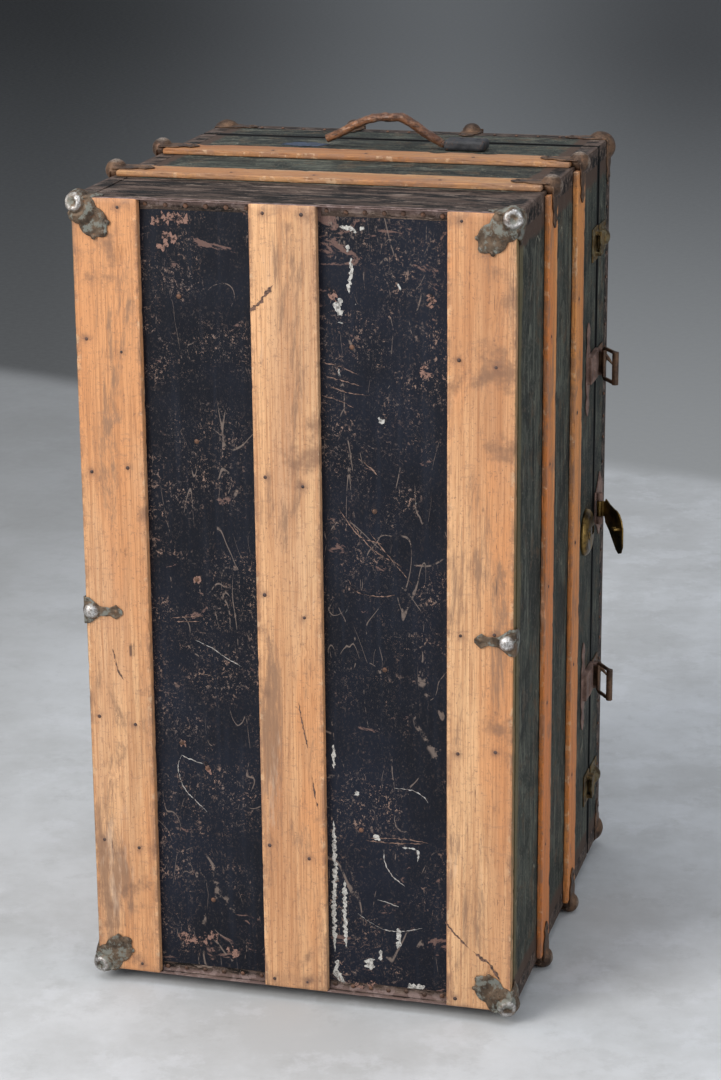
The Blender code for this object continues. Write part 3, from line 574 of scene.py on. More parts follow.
def slat_mesh(node, along, seed, outward, nails=(), lean=(0.0, 0.0), trim=0.0):
    """A slat in its node's box: rounded, slightly wavy, with dents and chipped long edges.

    lean shifts the two ends across the slat, trim narrows it, and nails stain the wood near them.
    """
    low, high = (np.array(corner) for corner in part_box(node))
    a = "XYZ".index(along)
    t = int(np.argmax(np.abs(np.array(outward))))
    w = 3 - a - t
    middle, half = (low + high) / 2, (high - low) / 2
    half[w] -= trim
    section, near = rounded_section(half[w], half[t], 0.0014, 0.0035)
    nails = np.array([list(place) for place in nails] or [[9.0, 9.0, 9.0]])
    stations = np.concatenate(([-half[a], -half[a] + 0.0008],
                               np.arange(-half[a] + 0.004, half[a] - 0.003, 0.004),
                               [half[a] - 0.0008, half[a]]))
    rings = np.zeros((len(stations), len(section), 3))
    edge = np.zeros((len(stations), len(section)))
    end = np.zeros((len(stations), len(section)))
    stain = np.zeros((len(stations), len(section)))
    sign = np.sign(outward[t])
    for i, s in enumerate(stations):
        shrink = 0.0009 if i in (0, len(stations) - 1) else 0.0
        for j, (u, v) in enumerate(section):
            outer = max(0.0, v * sign / half[t])
            dent = wobble((s, u, seed), 22, seed) * 0.00045 + wobble((s, u, v), 90, seed) * 0.00018
            hollow = max(0.0, wobble((s * 0.6, u, 0), 48, seed + 9) - 0.42) * 0.0040
            chip = near[j] * max(0.0, wobble((s, u * 4, v * 9), 95, seed + 3) - 0.22) * 0.0026
            drop = outer * (max(dent, -0.0003) - hollow)
            scale_u = 1 - (shrink + chip) / half[w]
            place = [0.0, 0.0, 0.0]
            place[a] = middle[a] + s
            share = (s / half[a] + 1) / 2
            place[w] = middle[w] + u * scale_u + lean[0] * (1 - share) + lean[1] * share
            place[t] = middle[t] + v * (1 - shrink / half[t]) + sign * (min(drop,
                                                                            0.0) - outer * chip * 0.7)
            rings[i, j] = place
            edge[i, j] = min(1.0, near[j])
            end[i, j] = max(0.0, 1 - (half[a] - abs(s)) / 0.022)
            away = np.sqrt(((nails - place) ** 2).sum(1)).min()
            stain[i, j] = math.exp(-(away / 0.0055) ** 2)
    return loft(rings, attributes={"edge": edge, "end": end, "stain": stain})


def nail_heads(places, radius, body, material, name):
    """Shallow domed nail or rivet heads at (place, outward, scale)."""
    made = bmesh.new()
    for place, outward, scale in places:
        turn = Vector(outward).to_track_quat("Z", "Y").to_matrix().to_4x4()
        here = Matrix.Translation(place) @ turn @ Matrix.Diagonal((scale, scale, 0.42 * scale, 1))
        bmesh.ops.create_uvsphere(made, u_segments=12, v_segments=8, radius=radius, matrix=here)
    mesh = bpy.data.meshes.new(name)
    made.to_mesh(mesh)
    made.free()
    mesh.shade_smooth()
    return made_piece(name, mesh, material, body)


def softened(nodes, voxel, add=(), smooth=4):
    """Copies of CAD nodes with rivet heads added, remeshed to the rounded look of worn castings."""
    made = bmesh.new()
    for node in nodes:
        made.from_mesh(NODES[node].data)
    for place, outward, radius, flat in add:
        turn = Vector(outward).to_track_quat("Z", "Y").to_matrix().to_4x4()
        here = Matrix.Translation(place) @ turn @ Matrix.Diagonal((1, 1, flat, 1))
        bmesh.ops.create_uvsphere(made, u_segments=14, v_segments=10, radius=radius, matrix=here)
    mesh = bpy.data.meshes.new("softened")
    made.to_mesh(mesh)
    made.free()
    obj = bpy.data.objects.new("softened", mesh)
    bpy.context.scene.collection.objects.link(obj)
    remesh = obj.modifiers.new("remesh", "REMESH")
    remesh.mode = "VOXEL"
    remesh.voxel_size = voxel
    ease = obj.modifiers.new("ease", "SMOOTH")
    ease.iterations = smooth
    ease.factor = 0.5
    bpy.context.view_layer.update()
    result = bpy.data.meshes.new_from_object(obj.evaluated_get(bpy.context.evaluated_depsgraph_get()))
    bpy.data.objects.remove(obj)
    result.shade_smooth()
    return result


def reshaped(mesh, move, worn=None):
    """The mesh with each vertex moved by move(point), and a worn attribute from worn(point)."""
    count = len(mesh.vertices)
    points = np.zeros(count * 3)
    mesh.vertices.foreach_get("co", points)
    points = points.reshape(-1, 3)
    values = np.array([worn(p) for p in points]) if worn else np.zeros(count)
    moved = np.array([move(p) for p in points]) if move else points
    mesh.vertices.foreach_set("co", moved.ravel())
    layer = mesh.attributes.new("worn", "FLOAT", "POINT")
    layer.data.foreach_set("value", values.astype(np.float32))
    mesh.update()
    return mesh


# Camera, lights and stage

def make_studio():
    camera = bpy.data.objects.new("camera", bpy.data.cameras.new("camera"))
    bpy.context.scene.collection.objects.link(camera)
    camera.data.lens = 93.01
    camera.data.clip_end = 100
    camera.location = world(0.8288, -2.7802, 1.4129 - HALF_L)
    camera.rotation_euler = Euler([math.radians(a) for a in (73.158, 0.454, 15.043)])
    bpy.context.scene.camera = camera

    for name, place, aim, size, power, colour in (
            ("window", (-2.3, -3.3, 2.5), (0, 0, 0.40), 2.2, 150, (1.0, 0.97, 0.93)),
            ("fill", (3.0, -1.8, 1.7), (0, 0, 0.5), 2.4, 40, (0.93, 0.96, 1.0)),
            ("sky", (-0.4, -0.5, 3.4), (0, 0, 0.3), 2.8, 56, (0.95, 0.97, 1.0))):
        light = bpy.data.objects.new(name, bpy.data.lights.new(name, "AREA"))
        bpy.context.scene.collection.objects.link(light)
        light.data.size = size
        light.data.energy = power
        light.data.color = colour
        light.location = place
        light.rotation_euler = (Vector(aim) - Vector(place)).to_track_quat("-Z", "Y").to_euler()
    sky = bpy.data.worlds.new("sky")
    bpy.context.scene.world = sky
    sky.use_nodes = True
    sky.node_tree.nodes["Background"].inputs["Color"].default_value = (0.62, 0.66, 0.72, 1)
    sky.node_tree.nodes["Background"].inputs["Strength"].default_value = 0.55
    bpy.context.scene.view_settings.view_transform = "Standard"

    rings = np.array([[(x, y, 0.0) for x in np.linspace(-30, 30, 25)] for y in np.linspace(-20, 45, 27)])
    mesh = loft(rings, closed=False)
    mesh.materials.append(backdrop())
    stage = bpy.data.objects.new("backdrop", mesh)
    stage.location = (camera.location.x, camera.location.y, 0)
    stage.rotation_euler = Euler((0, 0, camera.rotation_euler.z))
    bpy.context.scene.collection.objects.link(stage)


# The trunk's pieces

def slat_nails(node, seed):
    """Places of the nail heads in a slat, a little off the line, as they were driven by hand."""
    a, b = (Vector(corner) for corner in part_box(node))
    size, middle = b - a, (a + b) / 2
    along = max(range(3), key=lambda i: size[i])
    thin = min(range(3), key=lambda i: size[i])
    wide = 3 - along - thin
    sign = 1 if middle[thin] > ORIGIN[thin] or node.startswith("lid") else -1
    bottom = node.startswith("bottom")
    outer = b[thin] if sign > 0 else a[thin]
    if bottom:
        sign, outer = -1, a[thin]
    normal = Vector([sign if k == thin else 0 for k in range(3)])
    count = int(size[along] / (0.138 if size[along] > 0.6 else 0.100))
    places = []
    for i in range(count + 1):
        for row in ((-0.32, 0.22) if bottom else (-0.14,)):
            jitter = wobble((i, row * 9, seed), 3.1, seed + 0.5)
            if bottom and 0 < i < count and (i + seed) % 3 == 0:
                continue
            place = middle.copy()
            place[along] = a[along] + 0.0095 + (size[along] - 0.019) * i / count
            if 0 < i < count:
                place[along] += 0.03 * jitter
            place[wide] += size[wide] * row * (1 + 0.30 * jitter)
            place[thin] = outer - sign * 0.0004
            places.append((place, normal, 1 + 0.25 * jitter))
    return places


def make_slats(nails):
    bottom = slat_wood("pine_bottom", "Z", (1.0, 1.05, 1.07))
    side = slat_wood("pine_side", "Z", (0.98, 0.70, 0.40))
    cross = slat_wood("pine_cross", "X", (0.64, 0.60, 0.52))
    top = slat_wood("pine_lid", "Z", (0.84, 0.72, 0.62))
    rows = []
    for name in ("back", "middle", "front"):
        rows.append((f"bottom_slat_{name}", "Z", (0, -1, 0), bottom, "trunk"))
    for row in ("low", "high"):
        for end, sign in ENDS.items():
            rows.append((f"{row}_slat_{end}_end", "X", (0, 0, sign), cross, "trunk"))
        for face, sign in SIDES.items():
            rows.append((f"{row}_slat_{face}", "Z", (sign, 0, 0), side, "trunk"))
    for face in SIDES:
        rows.append((f"lid_slat_{face}", "Z", (0, 1, 0), top, "lid"))
    heads = {"trunk": [], "lid": []}
    for seed, (node, along, outward, material, body) in enumerate(rows):
        places = slat_nails(node, seed)
        lean = (0.0, -0.0026) if node == "bottom_slat_middle" else (0.0, 0.0)
        trim = 0.0010 if node.startswith("bottom") else 0.0
        mesh = slat_mesh(node, along, seed + 1.3, outward, [p for p, _, _ in places], lean, trim)
        made_piece(f"{node}_wood", mesh, material, body, (node,))
        heads[body] += places
    nail_heads(heads["trunk"], 0.0022, "trunk", nails, "slat_nails")
    nail_heads(heads["lid"], 0.0022, "lid", nails, "lid_slat_nails")


def sheet_lift(x, z, seed):
    """How far the dented sheet stands off the boards, in trunk coordinates."""
    lift = 0.0005 * wobble((x, 0, z), 9, seed) + 0.0003 * wobble((x, 0, z), 40, seed)
    lift += 0.0010 * max(0.0, wobble((x, 0, z), 16, seed + 5) - 0.3)
    return min(BOTTOM_Y - 0.0012 + lift, BOTTOM_Y - 0.0004)


def sheet_panel(name, x_low, x_high, material, seed):
    """A thin panel of the bottom's sheet metal, gently dented, its long edges under the slats."""
    step, under = 0.006, 0.004
    xs = np.linspace(x_low - under, x_high + under, int((x_high - x_low) / step))
    zs = np.linspace(-HALF_L + 0.0004, HALF_L - 0.0004, int(2 * HALF_L / step))
    rings = np.zeros((len(zs), 2 * len(xs), 3))
    for i, z in enumerate(zs):
        for j, x in enumerate(xs):
            rings[i, j] = world(x, sheet_lift(x, z, seed), z)
            rings[i, 2 * len(xs) - 1 - j] = world(x, BOTTOM_Y - 0.0001, z)
    return made_piece(name, loft(rings), material, "trunk")


def smooth_path(points, step):
    """Points at an even step along a Catmull-Rom curve through the given (x, z) points."""
    points = [Vector(p) for p in points]
    if len(points) == 1:
        points = [points[0] - Vector((0.0025, 0)), points[0] + Vector((0.0025, 0))]
    ends = [2 * points[0] - points[1]] + points + [2 * points[-1] - points[-2]]
    path = []
    for a, b, c, d in zip(ends, ends[1:], ends[2:], ends[3:]):
        count = max(1, int((c - b).length / step))
        for i in range(count):
            t = i / count
            path.append(0.5 * (2 * b + (c - a) * t + (2 * a - 5 * b + 4 * c - d) * t * t
                               + (3 * b - a - 3 * c + d) * t ** 3))
    return path + [points[-1]]


def mark(points, width, lift, seed, broken=0.35):
    """Rings of one ragged, tapering mark on the bottom, following lift(x, z)."""
    path = smooth_path(points, 0.0008)
    rings = []
    for i, point in enumerate(path):
        before, after = path[max(0, i - 1)], path[min(len(path) - 1, i + 1)]
        run = (after - before).normalized()
        aside = Vector((-run.y, run.x))
        share = i / (len(path) - 1)
        taper = min(1.0, 6 * share + 0.15, 6 * (1 - share) + 0.15)
        thin = max(0.0, wobble((i * 0.10, 5, seed), 1.6, seed)) * 4 * broken
        drift = aside * 0.0007 * wobble((i * 0.2, 9, seed), 1.0, seed)
        ring = []
        for side, rise in ((-1, 0.00004), (-1, 0.00020), (1, 0.00020), (1, 0.00004)):
            ragged = 0.85 + 1.3 * wobble((i * 0.22, 40 * side, seed), 1.0, seed) - thin
            ragged += 0.35 * wobble((i * 0.9, 70 * side, seed), 1.0, seed)
            place = point + drift + aside * max(0.00004, width / 2 * taper * ragged) * side
            ring.append(list(world(place.x, lift(place.x, place.y) - rise, place.y)))
        rings.append(ring)
    return np.array(rings)


def joined_marks(name, all_rings, material):
    """One piece of many marks."""
    made = bmesh.new()
    for rings in all_rings:
        made.from_mesh(loft(rings))
    mesh = bpy.data.meshes.new(name)
    made.to_mesh(mesh)
    made.free()
    return made_piece(name, mesh, material, "trunk")


def mm(*pairs):
    return [(x / 1000, z / 1000) for x, z in pairs]


def make_marks(lift):
    """The larger marks on the bottom, their places worked out in millimetres. A helper script
    worked out their places, in millimetres.
    """
    white = [(mm((38, -244), (39, -304), (37, -353), (38, -404)), 0.0052),
             (mm((50, -315), (50, -358), (51, -397)), 0.0050),
             (mm((39, -153), (39, -181)), 0.0045), (mm((41, -414), (40, -432), (50, -441)), 0.0075),
             (mm((112, -367), (113, -383), (111, -392)), 0.0060), (mm((78, -408), (80, -422)), 0.0105),
             (mm((91, -396), (92, -409)), 0.0035), (mm((65, -206), (66, -211)), 0.0070),
             (mm((84, -257), (92, -262)),
              0.0065), (mm((117, -268), (128, -268), (135, -272), (135, -284)), 0.0030),
             (mm((122, -441), (143, -436)), 0.0090), (mm((52, 429), (64, 427), (70, 423)), 0.0050),
             (mm((74, 429), (79, 428)), 0.0050), (mm((61, 410), (60, 402)), 0.0045),
             (mm((64, 396), (64, 378), (61, 366), (62, 358)),
              0.0042), (mm((53, 352), (49, 343), (54, 334)), 0.0080),
             (mm((92, 224), (99, 219)), 0.0080), (mm((49, 326), (55, 326)),
                                                  0.0016), (mm((115, 371), (118, 364)), 0.0030)]
    pale = [mm((-140, -182), (-144, -196), (-142, -210), (-136, -224), (-124, -236), (-111, -248)),
            mm((-140, -182), (-127, -187), (-113, -190)), mm((65, -354), (79, -363), (98, -371),
                                                             (119, -370), (140, -364)),
            mm((96, -273), (97, -288), (105, -303), (120, -315)), mm((108, -198), (129, -199),
                                                                     (142, -205), (147, -212)),
            mm((88, -335), (100, -337), (113, -341)), mm((-119, -43), (-100, -51), (-84, -61),
                                                         (-66, -70))]
    brown = [mm((78, -261), (115, -258), (147, -260)), mm((75, -264), (109, -264), (143, -261)),
             mm((30, 282), (51, 278), (71, 270)), mm((34, 267), (53, 263), (73, 258)), mm((38, 256),
                     (60, 250), (82, 248)),
             mm((30, 246), (52, 240), (66, 234)), mm((-146, -19), (-109, -14)), mm((-143, -23),
                                                                                   (-114, -21)),
             mm((58, 40), (66, 28), (90, 24), (110, 27)), mm((70, 178), (84, 168),
                     (92, 160)), mm((48, 120), (70, 92), (96, 84)),
             mm((60, 108), (84, 78), (118, 60)), mm((82, 96), (104, 70), (130, 40)), mm((38, -420),
                                                                                        (46, -446))]
    dark = [mm((168, -348), (181, -363), (196, -378)),
            mm((200, -381), (208, -387), (220, -396), (231, -413)),
            mm((-46, 335), (-35, 346), (-20, 365)), mm((2, -103), (6, -127), (12, -156)), mm((16, -190),
                    (20, -215), (23, -228)),
            mm((-214, -58), (-210, -78), (-203, -94))]
    patches = [mm((-158, 424), (-136, 431), (-113, 427)), mm((-146, 412), (-128, 409)),
               mm((-152, 398), (-138, 402)),
               mm((-120, 28), (-111, 27)), mm((-142, -167), (-134, -166)), mm((-112, -196), (-106, -194)),
               mm((60, -444), (72, -446)), mm((150, 362), (151, 346)), mm((142, 284),
                       (144, 270)), mm((80, -446), (84, -436)),
               mm((40, 352), (46, 360)), mm((-90, -412), (-78, -424)), mm((-150, -404), (-128, -410),
                                                                          (-100, -398))]

    def flat(x, z):
        return 0.0

    joined_marks("paint_marks", [mark(p, w, lift, i + 0.3, 0.1) for i, (p, w) in enumerate(white)],
                 flaked("old_paint", (0.16, 0.15, 0.14), (0.56, 0.54, 0.50), 320))
    joined_marks("pale_scratches", [mark(p, 0.0011, lift, i + 31.3, 0.5) for i, p in enumerate(pale)],
                 flaked("bared_tin", (0.20, 0.18, 0.16), (0.48, 0.45, 0.42)))
    joined_marks("brown_scratches", [mark(p, 0.0012, lift, i + 61.3, 0.6) for i, p in enumerate(brown)],
                 flaked("bared_rust", (0.085, 0.052, 0.040), (0.27, 0.17, 0.13)))
    joined_marks("rust_patches",
                 [mark(p, 0.0120 + 0.005 * wobble((i, 0, 0), 1.7, 2), lift, i + 91.3, 0.15) for i,
                  p in enumerate(patches)],
                 flaked("rust_patch", (0.006, 0.006, 0.010), (0.26, 0.150, 0.118), 190, 0.7,
                        (0.475, 0.525)))
    widths = (0.0024, 0.0034, 0.0044, 0.0016, 0.0016, 0.0018)
    joined_marks("slat_cuts",
                 [mark(p, w, flat, i + 121.3, 0.30) for i, (p, w) in enumerate(zip(dark, widths))],
                 flaked("dark_cut", (0.040, 0.028, 0.025), (0.210, 0.120, 0.085), 300))


def make_sheet(nails):
    material = black_sheet()
    slats = {name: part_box(f"bottom_slat_{name}") for name in ("back", "middle", "front")}
    spans, seeds = [], []
    for left, right in (("back", "middle"), ("middle", "front")):
        x_low = slats[left][1][0] - ORIGIN.x
        x_high = slats[right][0][0] - ORIGIN.x
        spans.append((x_low, x_high))
        seeds.append(x_low)
        sheet_panel(f"bottom_sheet_{left}", x_low, x_high, material, x_low)

    def lift(x, z):
        return sheet_lift(x, z, seeds[0] if x < 0 else seeds[1])

    make_marks(lift)
    places = []
    for x_low, x_high in spans:
        for end in ENDS.values():
            count = int((x_high - x_low) / 0.021)
            for i in range(count + 1):
                x = x_low + 0.006 + (x_high - x_low - 0.012) * i / count
                z = end * (HALF_L - 0.0065 + 0.0015 * wobble((x, 0, end), 40, 2))
                places.append((world(x, BOTTOM_Y - 0.0019, z), -Y, 1 + 0.2 * wobble((x, end, 0), 50, 4)))
    for x, z in mm((-116, 28), (-139, -167), (-109, -195), (64, 300), (-112, 186), (-106, -356),
                   (70, -252),
                   (88, 120), (98, -60), (-128, 346)):
        places.append((world(x, lift(x, z) - 0.0001, z), -Y, 1.1))
    nail_heads(places, 0.0026, "trunk", nails, "sheet_nails")
    return spans


def strip(name, path, start, stop, along, material, body, seed, ragged=0.0006, nails=None, fold=2):
    """A thin strip: a path of (u, v) trunk coordinates across it, carried along an axis.

    along is "X", "Y" or "Z", and path gives the other two coordinates in X, Y, Z order.
    """
    thick = 0.0007
    path = [Vector(p) for p in path]
    dense, bend = [], []
    for i in range(len(path) - 1):
        count = max(1, int((path[i + 1] - path[i]).length / 0.003))
        for k in range(count):
            dense.append(path[i].lerp(path[i + 1], k / count))
    dense.append(path[-1])
    corner = path[fold - 1] if fold else None
    rings = []
    edge = []
    steps = max(2, int((stop - start) / 0.006))
    for i in range(steps + 1):
        s = start + (stop - start) * i / steps
        outer, inner, value = [], [], []
        for k, point in enumerate(dense):
            before, after = dense[max(0, k - 1)], dense[min(len(dense) - 1, k + 1)]
            run = (after - before).normalized()
            normal = Vector((-run.y, run.x))
            free = (k == 0 or k == len(dense) - 1) * ragged * wobble((s, k, 0), 70, seed)
            bulge = 0.00022 * wobble((s, k * 0.3, 1), 45, seed + 2)
            shifted = point + run * free
            outer.append(shifted + normal * (thick + bulge))
            inner.append(shifted)
            near = (point - corner).length if corner is not None else 1.0
            value.append(max(0.0, 1 - near / 0.011))
        section = outer + inner[::-1]
        value += value[::-1]
        ring = []
        for point in section:
            u, v = point
            ring.append(world(*{"X": (s, u, v), "Y": (u, s, v), "Z": (u, v, s)}[along]))
        rings.append(ring)
        edge.append(value)
    mesh = loft(np.array([[list(p) for p in ring] for ring in rings]), attributes={"edge": edge})
    return made_piece(name, mesh, material, body)


def fold_path(a_start, corner, b_end, radius=0.0022):
    """A path from one flange's end round a corner to the other's, as (u, v) points."""
    a_start, corner, b_end = Vector(a_start), Vector(corner), Vector(b_end)
    towards_a = (a_start - corner).normalized()
    towards_b = (b_end - corner).normalized()
    centre = corner + (towards_a + towards_b) * radius
    points = [a_start]
    for i in range(5):
        angle = math.radians(22.5 * i)
        points.append(centre - towards_b * radius * math.cos(angle) - towards_a * radius * math.sin(angle))
    return points + [b_end]


def make_bindings(spans, nails):
    """The covers folded over the bottom's end edges, and the strips along the other edges."""
    cover = worn_cover("worn_cover", (0.200, 0.135, 0.120), (0.33, 0.245, 0.225))
    binding = worn_cover("worn_binding", (0.075, 0.050, 0.040), (0.165, 0.120, 0.098))
    gap = 0.0002
    for end, sign in ENDS.items():
        z = sign * (HALF_L + gap)
        face = [(END_COVER_Y, z), (0.0010, z)]
        face = face if sign > 0 else face[::-1]
        strip(f"end_cover_{end}", face, -HALF_W + 0.0006, HALF_W - 0.0006, "X", cover, "trunk", sign,
              fold=2 if sign > 0 else 1)
        for index, (x_low, x_high) in enumerate(spans):
            y = BOTTOM_Y - 0.0014
            path = [(0.0030, z), (y - 0.0004, z), (y - 0.0002, sign * (HALF_L - 0.003)),
                    (y, sign * (HALF_L - 0.0115))]
            path = path if sign > 0 else path[::-1]
            strip(f"end_fold_{end}_{index}", path, x_low + 0.0002, x_high - 0.0002, "X", cover, "trunk",
                  sign + index, fold=2 if sign > 0 else 3)
    lip = 0.020
    seed = 3.0
    y_gaps = [(END_COVER_Y + 0.004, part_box("low_slat_front")[0][1] - ORIGIN.y - 0.0008),
              (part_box("low_slat_front")[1][1] - ORIGIN.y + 0.0008,
               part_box("high_slat_front")[0][1] - ORIGIN.y - 0.0008),
              (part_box("high_slat_front")[1][1] - ORIGIN.y + 0.0008, BODY_RIM - 0.0010)]
    for end, sz in ENDS.items():
        for side, sx in SIDES.items():
            x, z = sx * (HALF_W + gap), sz * (HALF_L + gap)
            path = fold_path((x, z - sz * lip), (x, z), (x - sx * lip, z))
            path = path if sx * sz > 0 else path[::-1]
            raised = sz * Vector((0, 0.0009))
            on_cover = fold_path(Vector((x, z - sz * lip)), Vector((x, z)) + raised,
                                 Vector((x - sx * lip, z)) + raised)
            on_cover = on_cover if sx * sz > 0 else on_cover[::-1]
            starts = [(0.0125, END_COVER_Y - 0.002)] + y_gaps
            for index, (low, high) in enumerate(starts):
                if high - low < 0.006:
                    continue
                seed += 1.7
                strip(f"corner_strip_{end}_{side}_{index}", path if index else on_cover, low, high, "Y",
                      binding, "trunk", seed, fold=4)
            seed += 1.7
            strip(f"lid_corner_strip_{end}_{side}", path, LID_RIM + 0.0008, LID_TOP - 0.014, "Y", binding,
                  "lid", seed, fold=4)
        y, z = LID_TOP + gap, sz * (HALF_L + gap)
        path = fold_path((y - 0.024, z), (y, z), (y, z - sz * 0.024))
        path = path if sz < 0 else path[::-1]
        strip(f"lid_end_strip_{end}", path, -HALF_W + 0.014, HALF_W - 0.014, "X", binding, "lid", sz,
              fold=4)
    for side, sx in SIDES.items():
        x, y = sx * (HALF_W + gap), LID_TOP + gap
        path = fold_path((x - sx * 0.024, y), (x, y), (x, y - 0.024))
        path = path if sx < 0 else path[::-1]
        strip(f"lid_side_strip_{side}", path, -HALF_L + 0.014, HALF_L - 0.014, "Z", binding, "lid",
              7 + sx,
              fold=4)
    lid_nails = []
    for sx in SIDES.values():
        for i in range(28):
            z = -HALF_L + 0.062 + (2 * HALF_L - 0.124) * i / 27
            z += 0.004 * wobble((i, sx, 0), 1.7, 3)
            lid_nails.append((world(sx * (HALF_W - 0.018), LID_TOP + 0.0009, z), Y, 1.0))
            lid_nails.append((world(sx * (HALF_W + 0.0009), LID_TOP - 0.019, z + 0.01), sx * X, 1.0))
    for sz in ENDS.values():
        for i in range(15):
            x = -HALF_W + 0.058 + (2 * HALF_W - 0.116) * i / 14
            if min(abs(x - 0.074), abs(x + 0.074)) > 0.028:
                lid_nails.append((world(x, LID_TOP + 0.0009, sz * (HALF_L - 0.018)), Y, 1.0))
                lid_nails.append((world(x, LID_TOP - 0.019, sz * (HALF_L + 0.0009)), sz * Z, 1.0))
    nail_heads(lid_nails, 0.0021, "lid", nails, "binding_nails")


def rub(*planes):
    """A worn value that grows past planes given as (axis index, sign, start, full)."""
    def value(point):
        most = 0.0
        for axis, sign, start, full in planes:
            reach = sign * point[axis]
            most = max(most, min(1.0, max(0.0, (reach - start) / (full - start))))
        return most
    return value


def bumper_shape(sx, sz, seed):
    """Moves a bumper's vertices into a smaller, dented dome, and gives a bright ring round the dent that
    is a painted highlight.
    """
    centre = world(sx * (HALF_W - 0.0070), 0.0070, sz * (HALF_L - 0.0070))
    dent = Vector((0.30 * sx, -1, 0.22 * sz)).normalized()

    def angle_of(point):
        off = Vector(point) - centre
        return off, off.length, dent.angle(off, 0.0) + 0.16 * wobble(point, 190, seed)

    def move(point):
        off, far, angle = angle_of(point)
        point = Vector(point) + noise.noise_vector(Vector(point) * 130 + Vector((seed, 0, 0))) * 0.00035
        if far > 0.0168 or far < 0.0100 or off.y > 0.003:
            return point
        reach = 0.0138 + 0.0012 * math.exp(-((angle - 0.62) / 0.20) ** 2)
        reach -= 0.0034 * math.exp(-(angle / 0.30) ** 2)
        return centre + off.normalized() * (far + (reach - far) * min(1.0, (0.0168 - far) / 0.0008))

    # The worn values of a bumper paint a highlight: a bright ring of bare-metal colour round the dent.
    def worn(point):
        off, far, angle = angle_of(point)
        if far > 0.0168 or off.y > 0.001:
            return 0.0
        side = 0.65 + 0.5 * wobble(point, 90, seed + 3)
        return min(1.0, max(0.0, side)) * math.exp(-((angle - 0.58) / 0.20) ** 4)

    return move, worn


def make_clamps(rusty, verdigris):
    """Corner pieces of the slats, the bottom and the lid, each softened from its CAD shape."""
    rows = [(node, "trunk") for node in NODES if "_clamp_" in node and not node.startswith("lid")]
    rows += [(node, "lid") for node in NODES if node.startswith(("lid_clamp", "lid_corner"))]
    rows += [(node, "trunk") for node in NODES if node.startswith("corner_bumper")]
    for seed, (node, body) in enumerate(sorted(rows)):
        low, high = (Vector(corner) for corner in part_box(node))
        middle = (low + high) / 2
        sx = 1 if middle.x > ORIGIN.x else -1
        sz = 1 if middle.z > ORIGIN.z else -1
        rivets = []
        if node.startswith("corner_bumper"):
            for angle in (0.0, 45.0, 90.0):
                reach = 0.0165
                u = 0.026 + reach * math.cos(math.radians(angle))
                v = 0.026 + reach * math.sin(math.radians(angle))
                rivets.append((world(sx * (HALF_W - u), -0.0017, sz * (HALF_L - v)), -Y, 0.0030, 0.5))
            for place, outward, radius, flat in (
                    ((HALF_W - 0.013, 0.0000, HALF_L - 0.013), -Y, 0.0175, 0.26),
                    ((HALF_W + 0.0002, 0.0120, HALF_L - 0.013), sx * X, 0.0170, 0.26),
                    ((HALF_W - 0.013, 0.0120, HALF_L + 0.0002), sz * Z, 0.0170, 0.26)):
                rivets.append((world(sx * place[0], place[1], sz * place[2]), outward, radius, flat))
            rivets.append((world(sx * (HALF_W - 0.027), 0.0125, sz * (HALF_L + 0.0018)), sz * Z, 0.0026,
                           0.5))
            rivets.append((world(sx * (HALF_W + 0.0018), 0.0125, sz * (HALF_L - 0.027)), sx * X, 0.0026,
                           0.5))
            material = verdigris
        elif node.startswith("bottom_mid"):
            z = middle.z - ORIGIN.z
            rivets.append((world(sx * (HALF_W - 0.037), -0.0017, z), -Y, 0.0028, 0.5))
            rivets.append((world(sx * (HALF_W + 0.0018), 0.010, z), sx * X, 0.0024, 0.5))
            worn = rub((1, -1, -(ORIGIN.y - 0.0035), -(ORIGIN.y - 0.0065)))
            material = verdigris
        elif node.startswith("lid_clamp"):
            x = middle.x - ORIGIN.x
            rivets.append((world(x, LID_TOP + 0.0085, sz * (HALF_L - 0.029)), Y, 0.0026, 0.5))
            rivets.append((world(x, LID_TOP - 0.029, sz * (HALF_L + 0.0019)), sz * Z, 0.0026, 0.5))
            worn = rub((1, 1, ORIGIN.y + LID_TOP + 0.010, ORIGIN.y + LID_TOP + 0.014))
            material = rusty
        elif node.startswith("lid_corner"):
            y = LID_TOP - 0.0155
            rivets.append((world(sx * (HALF_W - 0.044), y, sz * (HALF_L + 0.0019)), sz * Z, 0.0027, 0.5))
            rivets.append((world(sx * (HALF_W + 0.0019), y, sz * (HALF_L - 0.044)), sx * X, 0.0027, 0.5))
            rivets.append((world(sx * (HALF_W - 0.0155), LID_TOP + 0.0019, sz * (HALF_L - 0.044)), Y,
                           0.0027, 0.5))
            worn = rub((1, 1, ORIGIN.y + LID_TOP + 0.005, ORIGIN.y + LID_TOP + 0.010))
            material = rusty
        else:
            y = middle.y - ORIGIN.y
            top = 0.0084
            rivets.append((world(sx * (HALF_W - 0.034), y, sz * (HALF_L + top)), sz * Z, 0.0028, 0.5))
            rivets.append((world(sx * (HALF_W + top), y, sz * (HALF_L - 0.034)), sx * X, 0.0028, 0.5))
            worn = rub((0, sx, sx * ORIGIN.x + HALF_W + 0.0135, sx * ORIGIN.x + HALF_W + 0.0165),
                       (2, sz, sz * ORIGIN.z + HALF_L + 0.0125, sz * ORIGIN.z + HALF_L + 0.0165))
            material = rusty
        mesh = softened((node,), 0.0007, rivets)

        def hammered(point, seed=seed):
            offset = noise.noise_vector(Vector(point) * 130 + Vector((seed, 0, 0)))
            return Vector(point) + offset * 0.00035

        if node.startswith("corner_bumper"):
            mesh = reshaped(mesh, *bumper_shape(sx, sz, seed + 0.4))
        else:
            mesh = reshaped(mesh, hammered, worn)
        made_piece(f"{node}_pressed", mesh, material, body, (node,))


